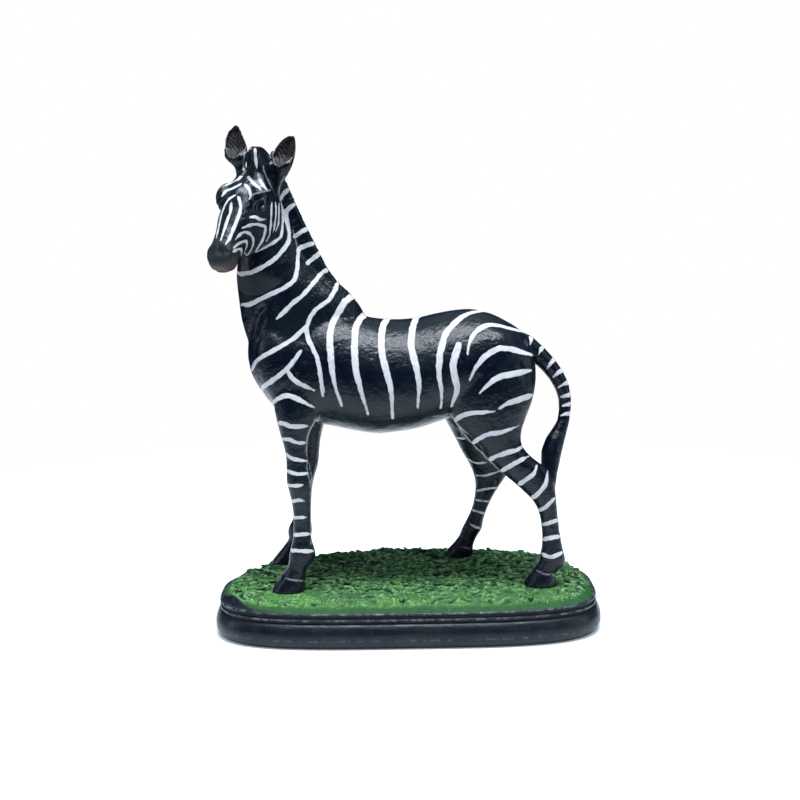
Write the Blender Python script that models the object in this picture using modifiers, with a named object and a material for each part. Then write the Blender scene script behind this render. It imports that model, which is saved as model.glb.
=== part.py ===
"""A painted resin zebra on an oval plinth with a grass top.

The animal is one casting and the plinth with its grass is another. The animal's
sections are written in parts, and there are 211 parts from its soles to its ear tip.
In its own frame x = 0 is the middle of the plinth, the head is at -x, the animal's
left side is at -y, and heights are measured from the near soles.
"""

import math

import bmesh
import bpy
from mathutils import Matrix, Vector, noise

MM = 0.001

# Driving sizes of the animal
FIGURE_HEIGHT = 211 * MM
FIGURE_PARTS = 211
PART = FIGURE_HEIGHT / FIGURE_PARTS

# Driving sizes of the plinth
BASE_LENGTH = 180.8 * MM
BASE_DEPTH = 89.6 * MM
RIM_HEIGHT = 16.2 * MM
FOOT_HEIGHT = 4.8 * MM
FOOT_UNDERCUT = 2.3 * MM
RIM_INSET = 2.3 * MM
RIM_EASE = 0.3 * MM
GROOVE_DEPTH = 0.7 * MM
LEDGE_WIDTH = 2.3 * MM
FRONT_POWER = 3.8
HEAD_END_POWER = 2
TAIL_END_POWER = 2.6

# Driving sizes of the grass
TURF_RISE = 4.5 * MM
BACK_RISE = 4.2 * MM
BACK_RISE_POWER = 1.7
TURF_SHOULDER = 11 * MM
CROWN_POWER = 2.4
TUFT_SIZE = 7 * MM
TUFT_HEIGHT = 1.1 * MM
PAD_MARGIN = 5 * MM

# The soles stand this far above the grass, so that the two castings do not merge
SEAT_GAP = 0.3 * MM

# Fineness of the solids
RING_SIDES = 28
RING_STEP = 2.0
VOXEL = 0.9 * MM
SMOOTH_PASSES = 6
FIGURE_TRIANGLES = 6900
TURF_COLUMNS = 26
TURF_ROWS = 13

# How far the sections narrow towards their top, and how squarish they are
TORSO_TAPER = -0.12
TORSO_POWER = 2.15
NECK_TAPER = -0.18
MANE_TAPER = -0.1
HAIR_POWER = 3
LEG_POWER = 2.2
HEAD_TAPER = 0.12
HEAD_POWER = 2.4

SIDEWAYS = Vector((0, 1, 0))
REARWARDS = Vector((1, 0, 0))
UPWARDS = Vector((0, 0, 1))

# Torso: place along the body, underside, back, half width
TORSO = [
    (-72.4, 104, 112, 4),
    (-71, 98, 117, 9),
    (-67.8, 92, 122, 14),
    (-62, 83.6, 126, 18),
    (-54, 77.6, 129, 20.5),
    (-44, 74.5, 127, 22.5),
    (-34, 73, 127.5, 24.5),
    (-24, 70.8, 125.4, 26),
    (-14, 69.3, 123.2, 27),
    (-4, 69.9, 122.3, 27.5),
    (6, 71.5, 122.9, 27.5),
    (14, 74, 124.6, 27),
    (22, 76.5, 126, 26.5),
    (31, 80, 126.5, 26),
    (40, 84, 124.4, 24.5),
    (48, 89, 120.4, 21.5),
    (53.6, 95, 116.6, 16.5),
    (57.4, 100, 111.5, 9),
]

# Neck: height, throat, crest under the mane, side offset, half width
NECK = [
    (102, -69.6, -24, 0, 19.5),
    (112, -72, -19, 0, 18.5),
    (118, -73.8, -16.8, 0, 17),
    (123, -75, -17.4, 0, 15.8),
    (128, -75.6, -19.6, -0.2, 14.9),
    (132, -75.9, -22.6, -0.4, 14.4),
    (137, -76.3, -29, -0.8, 13.6),
    (144, -76.5, -37.6, -1.2, 12.3),
    (152, -75.4, -44.2, -1.2, 10.8),
    (160, -73.9, -47.6, -1, 9.6),
    (168, -72.5, -51, -0.8, 8.8),
    (176, -71.5, -54, -0.8, 8.2),
    (184, -70, -57.4, -1, 7),
]

# Mane: outer edge along the body, height, side offset, standing height
MANE = [
    (-60, 196, -2, 6),
    (-55.2, 191, -1.9, 6),
    (-51.8, 185, -1.8, 6),
    (-48.2, 176, -1.6, 5.8),
    (-43.6, 165.4, -1.4, 5.8),
    (-38.4, 154.5, -1.1, 6),
    (-34.4, 146, -0.8, 5.6),
    (-29.7, 139.6, -0.4, 4),
    (-24.4, 134.6, 0, 2),
    (-20.8, 129.8, 0, 0.6),
]
MANE_HALF_WIDTH = 2.9
MANE_ROOT = 1.5

# Forelegs: height, half depth, half width
FORELEG = [
    (96, 14, 8),
    (88, 11.6, 8.4),
    (80, 9.7, 7.6),
    (72, 6.7, 6),
    (63, 5.1, 4.9),
    (57, 5.6, 4.9),
    (50, 6.1, 5.4),
    (44, 5.1, 4.9),
    (37, 4.4, 3.8),
    (29, 4.3, 3.7),
    (23, 4.6, 4.1),
    (19.5, 5.7, 4.8),
    (16, 6.3, 5),
    (12.5, 5.6, 4.7),
    (9.5, 5, 4.5),
    (5.5, 6.2, 5.7),
    (0, 7.9, 6.8),
]

# Line through the middle of each foreleg: height, along the body, side offset
NEAR_FORELEG_LINE = [
    (96, -48.5, -12.5),
    (80, -49.3, -16),
    (72, -50.4, -17.2),
    (63, -49.9, -18),
    (57, -49.2, -18.4),
    (50, -48.7, -18.8),
    (37, -48, -19.2),
    (23, -48.2, -19.8),
    (16, -48.3, -20),
    (12.5, -49.4, -20.2),
    (9.5, -51.2, -20.4),
    (5.5, -53, -20.6),
    (0, -55.1, -20.8),
]
FAR_FORELEG_LINE = [
    (96, -46.5, 12.5),
    (80, -45.4, 16),
    (72, -45.4, 17.2),
    (63, -46.2, 18),
    (57, -47.4, 18.4),
    (50, -48.8, 18.8),
    (44, -49.7, 19),
    (37, -50.4, 19.2),
    (24, -51.3, 19.8),
    (19.5, -52.4, 19.9),
    (16, -52.9, 20),
    (12.5, -53.2, 20.1),
    (9.5, -55.8, 20.2),
    (5.5, -57.8, 20.3),
    (1, -59.7, 20.4),
]

# Hind legs: height, front edge, rear edge, side offset, half width
NEAR_HIND_LEG = [
    (114, 33, 53, -10, 7),
    (107, 24, 58.4, -12, 11),
    (99, 19, 59.6, -13, 12.8),
    (91, 17.5, 59, -14, 13.2),
    (84, 18.5, 57.2, -15, 12.4),
    (78, 21, 54.8, -16, 11.2),
    (72, 25, 52.8, -17, 9.6),
    (66, 30.4, 52.8, -17.8, 7.8),
    (61, 35.2, 56.4, -18.3, 6.6),
    (57, 39, 61.4, -18.7, 6.1),
    (54, 42.2, 65.6, -18.9, 5.8),
    (50, 46.8, 67.2, -19, 5.6),
    (45.5, 51.8, 68, -19, 5.2),
    (40, 57.2, 68.6, -19, 4.6),
    (34, 60.2, 69.2, -18.8, 3.9),
    (26, 61.5, 70.2, -18.6, 3.8),
    (20, 61.8, 71.2, -18.5, 4.3),
    (14.5, 61, 72.4, -18.3, 4.9),
    (11, 60.4, 73.2, -18.2, 5),
    (8.6, 59, 71.8, -18.2, 4.8),
    (6, 57, 69, -18, 5.4),
    (3.5, 55.6, 68.6, -18, 6.2),
    (0, 53.2, 69.4, -18, 6.9),
]
FAR_HIND_LEG = [
    (114, 33, 53, 10, 7),
    (107, 22, 58.4, 12, 11),
    (99, 17, 59.6, 13, 12.8),
    (91, 14.5, 58.2, 14, 13.2),
    (84, 14.5, 55, 15.4, 12.4),
    (78, 16.2, 51.4, 16.8, 11.2),
    (72, 18.9, 48.8, 18.4, 9.6),
    (66, 22.1, 47.2, 19.8, 7.8),
    (60, 24.9, 47.5, 21, 6.6),
    (54, 27.8, 49.8, 22, 6),
    (48, 31.1, 52.2, 22.8, 5.6),
    (43, 33.1, 50.4, 23.4, 5.1),
    (38, 34, 47.2, 23.9, 4.5),
    (32, 33.6, 43.6, 24.4, 3.9),
    (25, 32.2, 40.4, 25, 3.8),
    (19, 29.5, 38.5, 25.4, 4.3),
    (14.5, 27.3, 37.7, 25.7, 4.9),
    (10, 25.4, 35, 26, 4.5),
    (6.5, 22.6, 33.6, 26.2, 5.6),
    (1.6, 18.2, 33.2, 26.4, 6.9),
]

# Tail: along the body, height, side offset, half thickness
TAIL = [
    (50, 113.4, 0, 4),
    (56.8, 110.2, 0, 4.2),
    (62, 104.9, 0, 4.5),
    (66.6, 100.2, -0.2, 4.2),
    (70.4, 95.2, -0.5, 3.9),
    (73.2, 89.6, -0.9, 3.6),
    (74.5, 83.8, -1.3, 3.2),
    (74.4, 78, -2, 3),
    (73.4, 73, -3.2, 3.1),
    (71.6, 69, -4.2, 3.7),
    (69.3, 64.5, -5.6, 4.7),
    (67.6, 60, -7.2, 5),
    (66.8, 55, -8.8, 4.6),
    (66.3, 49.5, -11, 3.7),
    (66.6, 44, -12.8, 2.5),
    (66.8, 39, -13.8, 1.5),
    (66.9, 35.5, -14.3, 1),
]

# Head: its place and turn, then its own sections
HEAD_PLACE = (-67.7, -5.6, 192.5)
HEAD_YAW = 62
HEAD_PITCH = 50.5

# Head sections: distance from the poll, brow line, jaw line, half width
HEAD = [
    (-4, -6, -16, 5),
    (0, -1.6, -22, 8),
    (5, 0.6, -25.6, 10),
    (11, 1.4, -27.8, 11.2),
    (17, 1.2, -28.4, 11.4),
    (23, 0.6, -26.4, 10.8),
    (29, 0, -22.6, 9.2),
    (35, -0.5, -18.4, 7),
    (41, -0.8, -15.2, 6),
    (46, -1.6, -14.2, 6.2),
    (49.6, -3.4, -13.2, 5.6),
    (51.6, -6, -11.4, 4),
]

# Swellings on both sides of the head: distance, height, side, and the three radii
HEAD_SWELLINGS = [
    (14.2, -2.4, 9.6, 6.2, 3.7, 3.9),
    (18.6, -5.4, 8.4, 4.2, 3.4, 3.4),
    (16, -16.4, 7, 13.8, 12, 5.2),
    (45.6, -4.6, 4.2, 3.4, 3, 2.4),
    (45, -12.4, 1.6, 4.4, 2.8, 3),
]

# Forelock between the ears: height, reach forward, reach back, half width
FORELOCK_PLACE = (-64.5, -8)
FORELOCK = [
    (184, 10, -4, 5.4),
    (190, 9, -5.5, 5),
    (195.5, 7, -6.5, 4),
    (198.6, 4.5, -6.5, 3.4),
    (200.6, 1.5, -5, 2),
]

# Ears: height, along the body, side offset, half width
FAR_EAR = [
    (180, -70.5, -3, 3.8),
    (185, -71.8, -2.6, 3),
    (189.5, -72.6, -2.2, 2.6),
    (192.5, -73.2, -1.8, 3),
    (195, -74.2, -1.4, 4.8),
    (197.5, -74.9, -1, 5.9),
    (201, -75.3, -0.4, 6.1),
    (205, -75.6, 0.4, 5),
    (208, -75.4, 1.2, 3.6),
    (210.2, -75, 1.8, 2.2),
    (211.3, -74.7, 2, 1.2),
]
NEAR_EAR = [
    (176, -60, -5.4, 3.4),
    (181, -57.4, -6.4, 3.3),
    (186.5, -54.8, -7.4, 3.2),
    (190, -53.8, -8, 4.4),
    (193, -53.7, -8, 5.6),
    (196.6, -53.1, -7.8, 6.1),
    (199.6, -52.2, -7.6, 5.6),
    (202.5, -51, -7.4, 4.5),
    (204.6, -49.9, -7.3, 3),
    (206, -49, -7.2, 1.4),
]
EAR_FACING = (-0.35, -1, 0)
EAR_BACK = 0.72
EAR_HOLLOW = 0.14
EAR_STALK = 0.62
EAR_OPENING = 5

# Swellings on the body, each on both sides: place, radii, lean in degrees
BODY_SWELLINGS = [
    ((-52.5, 13.5, 99), (13, 8, 22), -24),
    ((-58.8, 8, 101), (10, 8, 12), 0),
    ((38, 15, 102), (18, 9.5, 17), 12),
]


def smooth_rows(rows, step):
    """Rows spaced by about step along their first column, on a cubic through the given ones."""
    out = []
    last = len(rows) - 1

    def slope(i):
        low, high = rows[max(i - 1, 0)], rows[min(i + 1, last)]
        span = high[0] - low[0]
        return [(b - a) / span for a, b in zip(low, high)]

    for i in range(last):
        start, end = rows[i], rows[i + 1]
        span = end[0] - start[0]
        pieces = max(1, round(abs(span) / step))
        from_slope, to_slope = slope(i), slope(i + 1)
        for k in range(pieces):
            t = k / pieces
            a = 2 * t**3 - 3 * t**2 + 1
            b = t**3 - 2 * t**2 + t
            c = 3 * t**2 - 2 * t**3
            d = t**3 - t**2
            out.append([
                a * p + b * span * m + c * q + d * span * n
                for p, m, q, n in zip(start, from_slope, end, to_slope)
            ])
    out.append(list(rows[last]))
    return out


def squared(value, power):
    """A cosine or sine pushed outwards, so that a round section turns squarish."""
    return math.copysign(abs(value) ** (2 / power), value)


def egg_ring(middle, across, up, half_across, half_up, taper=0.0, power=2.0):
    """A closed section. A negative taper narrows it towards up; a power over 2 squares it."""
    points = []
    for k in range(RING_SIDES):
        angle = 2 * math.pi * k / RING_SIDES
        c, s = squared(math.cos(angle), power), squared(math.sin(angle), power)
        points.append(middle + across * (half_across * c * (1 + taper * s)) + up * (half_up * s))
    return points


def add_loft(bm, rings):
    """A closed skin over the rings, with a fan at each end."""
    layers = [[bm.verts.new(p) for p in ring] for ring in rings]
    sides = len(rings[0])
    for low, high in zip(layers, layers[1:]):
        for k in range(sides):
            n = (k + 1) % sides
            bm.faces.new((low[k], low[n], high[n], high[k]))
    for layer, flip in ((layers[0], True), (layers[-1], False)):
        middle = bm.verts.new(sum((v.co for v in layer), Vector()) / sides)
        for k in range(sides):
            n = (k + 1) % sides
            corners = (layer[n], layer[k], middle) if flip else (layer[k], layer[n], middle)
            bm.faces.new(corners)


def add_ball(bm, place, radii, turn):
    """An ellipsoid with its radii along the columns of turn."""
    matrix = Matrix.Translation(place) @ turn.to_4x4() @ Matrix.Diagonal((*radii, 1))
    bmesh.ops.create_uvsphere(
        bm, u_segments=RING_SIDES, v_segments=RING_SIDES // 2, radius=1, matrix=matrix
    )


def add_torso(bm):
    rings = []
    for x, low, high, half in smooth_rows(TORSO, RING_STEP):
        middle = Vector((x, 0, (low + high) / 2))
        tall = (high - low) / 2
        rings.append(egg_ring(middle, SIDEWAYS, UPWARDS, half, tall, TORSO_TAPER, TORSO_POWER))
    add_loft(bm, rings)
    for (x, y, z), radii, lean in BODY_SWELLINGS:
        for side in (-1, 1):
            add_ball(bm, Vector((x, side * y, z)), radii, Matrix.Rotation(math.radians(lean), 3, "Y"))


def add_neck(bm):
    rings = []
    for z, throat, crest, y, half in smooth_rows(NECK, RING_STEP):
        middle = Vector(((throat + crest) / 2, y, z))
        deep = (crest - throat) / 2
        rings.append(egg_ring(middle, -SIDEWAYS, REARWARDS, half, deep, NECK_TAPER))
    add_loft(bm, rings)


def add_mane(bm):
    points = [Vector((x, y, z)) for x, z, y, _ in MANE]
    rings = []
    for i, row in enumerate(MANE):
        run = (points[min(i + 1, len(MANE) - 1)] - points[max(i - 1, 0)]).normalized()
        out = run.cross(SIDEWAYS).normalized()
        half = row[3] / 2 + MANE_ROOT
        middle = points[i] - out * half
        across = out.cross(run)
        rings.append(egg_ring(middle, across, out, MANE_HALF_WIDTH, half, MANE_TAPER, HAIR_POWER))
    add_loft(bm, rings)


def add_tail(bm):
    points = [Vector((x, y, z)) for x, z, y, _ in TAIL]
    rings = []
    for i, row in enumerate(TAIL):
        run = (points[min(i + 1, len(TAIL) - 1)] - points[max(i - 1, 0)]).normalized()
        out = run.cross(-SIDEWAYS).normalized()
        rings.append(egg_ring(points[i], out.cross(run), out, row[3], row[3]))
    add_loft(bm, rings)


def add_level_leg(bm, rows):
    """A leg as level sections: height, front edge, rear edge, side offset, half width."""
    rings = []
    for z, front, rear, y, half in smooth_rows(rows, RING_STEP):
        middle = Vector(((front + rear) / 2, y, z))
        rings.append(egg_ring(middle, SIDEWAYS, REARWARDS, half, (rear - front) / 2, 0, LEG_POWER))
    add_loft(bm, rings)


def foreleg_rows(line):
    """The forelegs share their sections; each has its own line."""
    line = smooth_rows(line, RING_STEP)
    rows = []
    for z, half_depth, half_width in FORELEG:
        z = max(z, line[-1][0])
        _, x, y = min(line, key=lambda point: abs(point[0] - z))
        rows.append((z, x - half_depth, x + half_depth, y, half_width))
    return rows


def head_frame():
    """Forward along the face, up off the brow and towards the animal's left, as columns."""
    yaw, pitch = math.radians(HEAD_YAW), math.radians(HEAD_PITCH)
    level = Vector((-math.cos(yaw), -math.sin(yaw), 0))
    forward = level * math.cos(pitch) - Vector((0, 0, math.sin(pitch)))
    left = Vector((math.sin(yaw), -math.cos(yaw), 0))
    return Matrix((forward, forward.cross(left), left)).transposed()


def in_head(turn, place):
    return Vector(HEAD_PLACE) + turn @ Vector(place)


def add_head(bm):
    turn = head_frame()
    _, up, left = turn.col
    rings = []
    for along, brow, jaw, half in smooth_rows(HEAD, RING_STEP):
        middle = in_head(turn, (along, (brow + jaw) / 2, 0))
        tall = (brow - jaw) / 2
        rings.append(egg_ring(middle, left, up, half, tall, HEAD_TAPER, HEAD_POWER))
    add_loft(bm, rings)
    for along, height, side, *radii in HEAD_SWELLINGS:
        for sign in (-1, 1):
            add_ball(bm, in_head(turn, (along, height, sign * side)), radii, turn)


def add_forelock(bm):
    _, _, left = head_frame().col
    level = UPWARDS.cross(left)
    rings = []
    for z, fore, back, half in smooth_rows(FORELOCK, RING_STEP):
        middle = Vector((*FORELOCK_PLACE, z)) + level * ((fore + back) / 2)
        rings.append(egg_ring(middle, left, level, half, (fore - back) / 2, 0, HAIR_POWER))
    add_loft(bm, rings)


def add_ear(bm, rows):
    """A leaf-shaped ear: a round stalk that opens into a shallow hollow in front."""
    face = Vector(EAR_FACING).normalized()
    across = face.cross(UPWARDS)
    widest = max(rows, key=lambda row: row[3])[0]
    rings = []
    for z, x, y, half in smooth_rows(rows, RING_STEP / 2):
        opened = clamp_share((z - widest) / EAR_OPENING + 1)
        front = EAR_STALK * (1 - opened) - EAR_HOLLOW * opened
        ring = []
        for k in range(RING_SIDES):
            angle = 2 * math.pi * k / RING_SIDES
            c, s = squared(math.cos(angle), HEAD_POWER), squared(math.sin(angle), HEAD_POWER)
            depth = half * s * (EAR_BACK if s < 0 else front)
            ring.append(Vector((x, y, z)) + across * (half * c) + face * depth)
        rings.append(ring)
    add_loft(bm, rings)


def figure_form():
    """All the forms of the animal in one mesh, overlapping where they grow together."""
    bm = bmesh.new()
    add_torso(bm)
    add_neck(bm)
    add_mane(bm)
    add_tail(bm)
    add_head(bm)
    add_forelock(bm)
    for rows in (FAR_EAR, NEAR_EAR):
        add_ear(bm, rows)
    for line in (NEAR_FORELEG_LINE, FAR_FORELEG_LINE):
        add_level_leg(bm, foreleg_rows(line))
    for rows in (NEAR_HIND_LEG, FAR_HIND_LEG):
        add_level_leg(bm, rows)
    bmesh.ops.recalc_face_normals(bm, faces=bm.faces)
    bmesh.ops.scale(bm, vec=(PART, PART, PART), verts=bm.verts)
    return bm


def paint(name, colour, roughness):
    material = bpy.data.materials.new(name)
    material.use_nodes = True
    shader = material.node_tree.nodes["Principled BSDF"]
    shader.inputs["Base Color"].default_value = (*colour, 1)
    shader.inputs["Roughness"].default_value = roughness
    shader.inputs["Metallic"].default_value = 0
    material.diffuse_color = (*colour, 1)
    return material


def new_object(name, mesh, collection):
    obj = bpy.data.objects.new(name, mesh)
    collection.objects.link(obj)
    return obj


def evaluated_mesh(obj):
    graph = bpy.context.evaluated_depsgraph_get()
    return bpy.data.meshes.new_from_object(obj.evaluated_get(graph))


def cast_in_one(name, bm, collection, material):
    """Melts the overlapping forms together, softens the joins and thins the faces."""
    rough = bpy.data.meshes.new(name)
    bm.to_mesh(rough)
    bm.free()
    obj = new_object(name, rough, collection)
    melt = obj.modifiers.new("melt", "REMESH")
    melt.mode = "VOXEL"
    melt.voxel_size = VOXEL
    soften = obj.modifiers.new("soften", "SMOOTH")
    soften.factor = 0.5
    soften.iterations = SMOOTH_PASSES
    melted = evaluated_mesh(obj)
    obj.modifiers.clear()
    obj.data = melted
    bpy.data.meshes.remove(rough)
    melted.name = name
    corners = sum(len(face.vertices) - 2 for face in melted.polygons)
    thin = obj.modifiers.new("thin", "DECIMATE")
    thin.ratio = min(1, FIGURE_TRIANGLES / corners)
    thinned = evaluated_mesh(obj)
    obj.modifiers.clear()
    obj.data = thinned
    bpy.data.meshes.remove(melted)
    thinned.name = name
    thinned.shade_smooth()
    thinned.materials.clear()
    thinned.materials.append(material)
    return obj


def outline_power(x, y):
    """How squarish the outline is: most in front, least behind at the head end."""
    if y < 0:
        return FRONT_POWER
    return HEAD_END_POWER if x < 0 else TAIL_END_POWER


def outline_point(u, v, half_length, half_depth):
    """A point of the square -1..1 carried onto the plinth's outline."""
    reach = max(abs(u), abs(v))
    if reach == 0:
        return 0.0, 0.0
    power = outline_power(u, v)
    du, dv = abs(u) / reach, abs(v) / reach
    scale = (du**power + dv**power) ** (-1 / power)
    return half_length * u * scale, half_depth * v * scale


def edge_distance(x, y, half_length, half_depth):
    """About how far the point lies inside the outline."""
    power = outline_power(x, y)
    du, dv = abs(x / half_length), abs(y / half_depth)
    total = du**power + dv**power
    if total == 0:
        return half_depth
    reach = total ** (1 / power)
    lean = reach / total
    slope = math.hypot(
        lean * du ** (power - 1) / half_length,
        lean * dv ** (power - 1) / half_depth,
    )
    return (1 - reach) / slope


def soles():
    """Middle, half length, half width and height of each sole, on the plinth."""
    spots = []
    for rows in (
        foreleg_rows(NEAR_FORELEG_LINE),
        foreleg_rows(FAR_FORELEG_LINE),
        NEAR_HIND_LEG,
        FAR_HIND_LEG,
    ):
        z, front, rear, y, half = rows[-1]
        middle, half_length = (front + rear) / 2, (rear - front) / 2
        spots.append([size * PART for size in (middle, y, half_length, half, z)])
    return spots


def clamp_share(value):
    value = min(max(value, 0), 1)
    return value * value * (3 - 2 * value)


def turf_height(x, y, half_length, half_depth, spots):
    """The grass: a crown that climbs towards the back, with tufts, and level under each hoof."""
    inside = edge_distance(x, y, half_length, half_depth)
    crown = 1 - (1 - min(max(inside / TURF_SHOULDER, 0), 1)) ** CROWN_POWER
    climb = BACK_RISE * max(y / half_depth, 0) ** BACK_RISE_POWER
    tuft = noise.noise(Vector((x, y, 0)) / TUFT_SIZE)
    bump = TUFT_HEIGHT * tuft * min(inside / TUFT_SIZE, 1)
    height = RIM_HEIGHT + (TURF_RISE + climb) * crown + bump
    for sx, sy, half_x, half_y, sole in spots:
        level = RIM_HEIGHT + TURF_RISE + sole
        reach = math.hypot((x - sx) / half_x, (y - sy) / half_y) - 1
        away = reach * min(half_x, half_y)
        blend = clamp_share((away - PAD_MARGIN) / PAD_MARGIN)
        blend = max(blend, clamp_share(1 - inside / PAD_MARGIN))
        height = level * (1 - blend) + height * blend
    return height


def rim_walk():
    """The border of the -1..1 square, in the order that the outline is walked."""
    walk = [(-1 + 2 * i / TURF_COLUMNS, -1) for i in range(TURF_COLUMNS)]
    walk += [(1, -1 + 2 * j / TURF_ROWS) for j in range(TURF_ROWS)]
    walk += [(1 - 2 * i / TURF_COLUMNS, 1) for i in range(TURF_COLUMNS)]
    walk += [(-1, 1 - 2 * j / TURF_ROWS) for j in range(TURF_ROWS)]
    return walk


def moulding():
    """The plinth's side from the floor up: inset from the widest outline, height."""
    body = RIM_HEIGHT - FOOT_HEIGHT
    groove = RIM_INSET + GROOVE_DEPTH
    return [
        (FOOT_UNDERCUT, 0),
        (0.6 * FOOT_UNDERCUT, 0.2 * FOOT_HEIGHT),
        (0.2 * FOOT_UNDERCUT, 0.55 * FOOT_HEIGHT),
        (0, FOOT_HEIGHT),
        (0.15 * RIM_INSET, FOOT_HEIGHT + 0.22 * body),
        (0.5 * RIM_INSET, FOOT_HEIGHT + 0.4 * body),
        (0.85 * RIM_INSET, FOOT_HEIGHT + 0.52 * body),
        (groove, FOOT_HEIGHT + 0.61 * body),
        (RIM_INSET, FOOT_HEIGHT + 0.71 * body),
        (groove, FOOT_HEIGHT + 0.84 * body),
        (RIM_INSET, FOOT_HEIGHT + 0.94 * body),
        (RIM_INSET + RIM_EASE, RIM_HEIGHT),
    ]


def build_base(collection, plinth_paint, turf_paint):
    half_length, half_depth = BASE_LENGTH / 2, BASE_DEPTH / 2
    bm = bmesh.new()
    walk = rim_walk()
    layers = []
    for inset, height in moulding():
        ring = [outline_point(u, v, half_length - inset, half_depth - inset) for u, v in walk]
        layers.append([bm.verts.new((x, y, height)) for x, y in ring])
    turf_length = half_length - RIM_INSET - LEDGE_WIDTH
    turf_depth = half_depth - RIM_INSET - LEDGE_WIDTH
    spots = soles()
    grid = {}
    for i in range(TURF_COLUMNS + 1):
        for j in range(TURF_ROWS + 1):
            u, v = -1 + 2 * i / TURF_COLUMNS, -1 + 2 * j / TURF_ROWS
            x, y = outline_point(u, v, turf_length, turf_depth)
            z = turf_height(x, y, turf_length, turf_depth, spots)
            grid[i, j] = bm.verts.new((x, y, z))
    for i in range(TURF_COLUMNS):
        for j in range(TURF_ROWS):
            face = bm.faces.new((grid[i, j], grid[i + 1, j], grid[i + 1, j + 1], grid[i, j + 1]))
            face.material_index = 1
    border = [grid[round((u + 1) * TURF_COLUMNS / 2), round((v + 1) * TURF_ROWS / 2)] for u, v in walk]
    layers.append(border)
    for low, high in zip(layers, layers[1:]):
        for k in range(len(walk)):
            n = (k + 1) % len(walk)
            bm.faces.new((low[k], low[n], high[n], high[k]))
    bm.faces.new(list(reversed(layers[0])))
    bmesh.ops.recalc_face_normals(bm, faces=bm.faces)
    mesh = bpy.data.meshes.new("base")
    bm.to_mesh(mesh)
    bm.free()
    mesh.materials.append(plinth_paint)
    mesh.materials.append(turf_paint)
    return new_object("base", mesh, collection)


def main():
    for obj in list(bpy.data.objects):
        bpy.data.objects.remove(obj)
    collection = bpy.data.collections.new("zebra_figurine")
    bpy.context.scene.collection.children.link(collection)
    figure_paint = paint("figure_paint", (0.012, 0.016, 0.02), 0.28)
    plinth_paint = paint("plinth_paint", (0.012, 0.014, 0.018), 0.25)
    turf_paint = paint("turf_paint", (0.03, 0.16, 0.03), 0.4)
    build_base(collection, plinth_paint, turf_paint)
    zebra = cast_in_one("zebra", figure_form(), collection, figure_paint)
    zebra.location = (0, 0, RIM_HEIGHT + TURF_RISE + SEAT_GAP)


main()
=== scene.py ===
import math

import bmesh
import bpy
import numpy as np
from mathutils import Matrix, Vector, noise
from mathutils.bvhtree import BVHTree


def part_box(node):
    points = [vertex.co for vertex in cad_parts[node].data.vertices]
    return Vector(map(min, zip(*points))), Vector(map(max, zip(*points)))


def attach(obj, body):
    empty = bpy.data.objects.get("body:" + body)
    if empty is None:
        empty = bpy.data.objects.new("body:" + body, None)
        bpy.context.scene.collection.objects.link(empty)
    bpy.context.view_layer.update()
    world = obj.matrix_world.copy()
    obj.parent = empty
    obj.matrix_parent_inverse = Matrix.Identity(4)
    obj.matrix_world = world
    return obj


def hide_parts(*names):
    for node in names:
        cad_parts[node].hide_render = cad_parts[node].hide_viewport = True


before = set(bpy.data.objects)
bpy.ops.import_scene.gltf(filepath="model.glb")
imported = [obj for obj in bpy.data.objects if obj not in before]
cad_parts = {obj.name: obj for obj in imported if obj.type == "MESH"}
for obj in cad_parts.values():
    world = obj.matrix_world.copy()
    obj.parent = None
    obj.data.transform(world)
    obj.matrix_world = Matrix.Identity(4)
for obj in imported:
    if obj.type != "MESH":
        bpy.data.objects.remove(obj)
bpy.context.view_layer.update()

# A painted resin zebra on a moulded plinth with a grass top. All sizes are in
# millimetres until a mesh is handed over; x = 0 is the middle of the plinth, the
# head is at -x and the animal's left side is at -y.
MM = 0.001
SIDEWAYS = Vector((0, 1, 0))
REARWARDS = Vector((1, 0, 0))
UPWARDS = Vector((0, 0, 1))

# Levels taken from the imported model
SOLE_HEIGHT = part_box("zebra")[0].z / MM
BASE_HALF_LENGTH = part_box("base")[1].x / MM
BASE_HALF_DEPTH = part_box("base")[1].y / MM

# Plinth and grass
RIM_HEIGHT = 16.2
FOOT_HEIGHT = 4.8
FOOT_UNDERCUT = 2.3
RIM_INSET = 2.3
RIM_EASE = 0.3
GROOVE_DEPTH = 0.8
LEDGE_WIDTH = 2.3
FRONT_POWER = 3.8
HEAD_END_POWER = 2
TAIL_END_POWER = 2.6
TURF_RISE = 4.5
BACK_RISE = 4.2
BACK_RISE_POWER = 1.7
TURF_SHOULDER = 11
CROWN_POWER = 2.4
SEAT_GAP = 0.3
TURF_STEP = 0.62
SEAT_EASE = 2.2
MOULDING_STEP = 0.45

# Clumps of grass: seed, number, and each one's size, height, lean off straight ahead and bend
CLUMP_SEED = 7
CLUMP_COUNT = 620
CLUMP_REACH = 4.2
CLUMP_REACH_SHARES = (0.55, 1.25)
CLUMP_RISE = 1.2
CLUMP_RISE_SHARES = (0.35, 1.1)
CLUMP_LEAN = 0.95
CLUMP_BEND = 0.5
# Cells over which their height is averaged to find the crests and the hollows, which get painted shade
CREST_BLUR = 3
# Crumpled folds under them: spacing and height
FOLD_STEP = 4.2
FOLD_RISE = 1.3

# Fineness of the animal's skin, and how far its legs reach down into the grass
RING_SIDES = 56
RING_STEP = 1.5
VOXEL = 0.86
SMOOTH_PASSES = 7
HEAD_SMOOTH_PASSES = 2
FINE_ABOVE = 183
HOOF_SINK = 1.4

# Strokes: width left at a pointed end, step between streak patterns, and how nearly skin has
# to face as the stroke does, or away from the viewer where a stroke is mirrored
THIN_END = 0.38
STROKE_SHIFT = 37
FACING_LIMIT = -0.1
AWAY_SIDE = 0.25

# The part of the head's own frame that is carved: along the face, up off the brow, to a side
FACE_ALONG = (-6, 60)
FACE_UP = (-32, 8)
FACE_SIDE = 18

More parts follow.
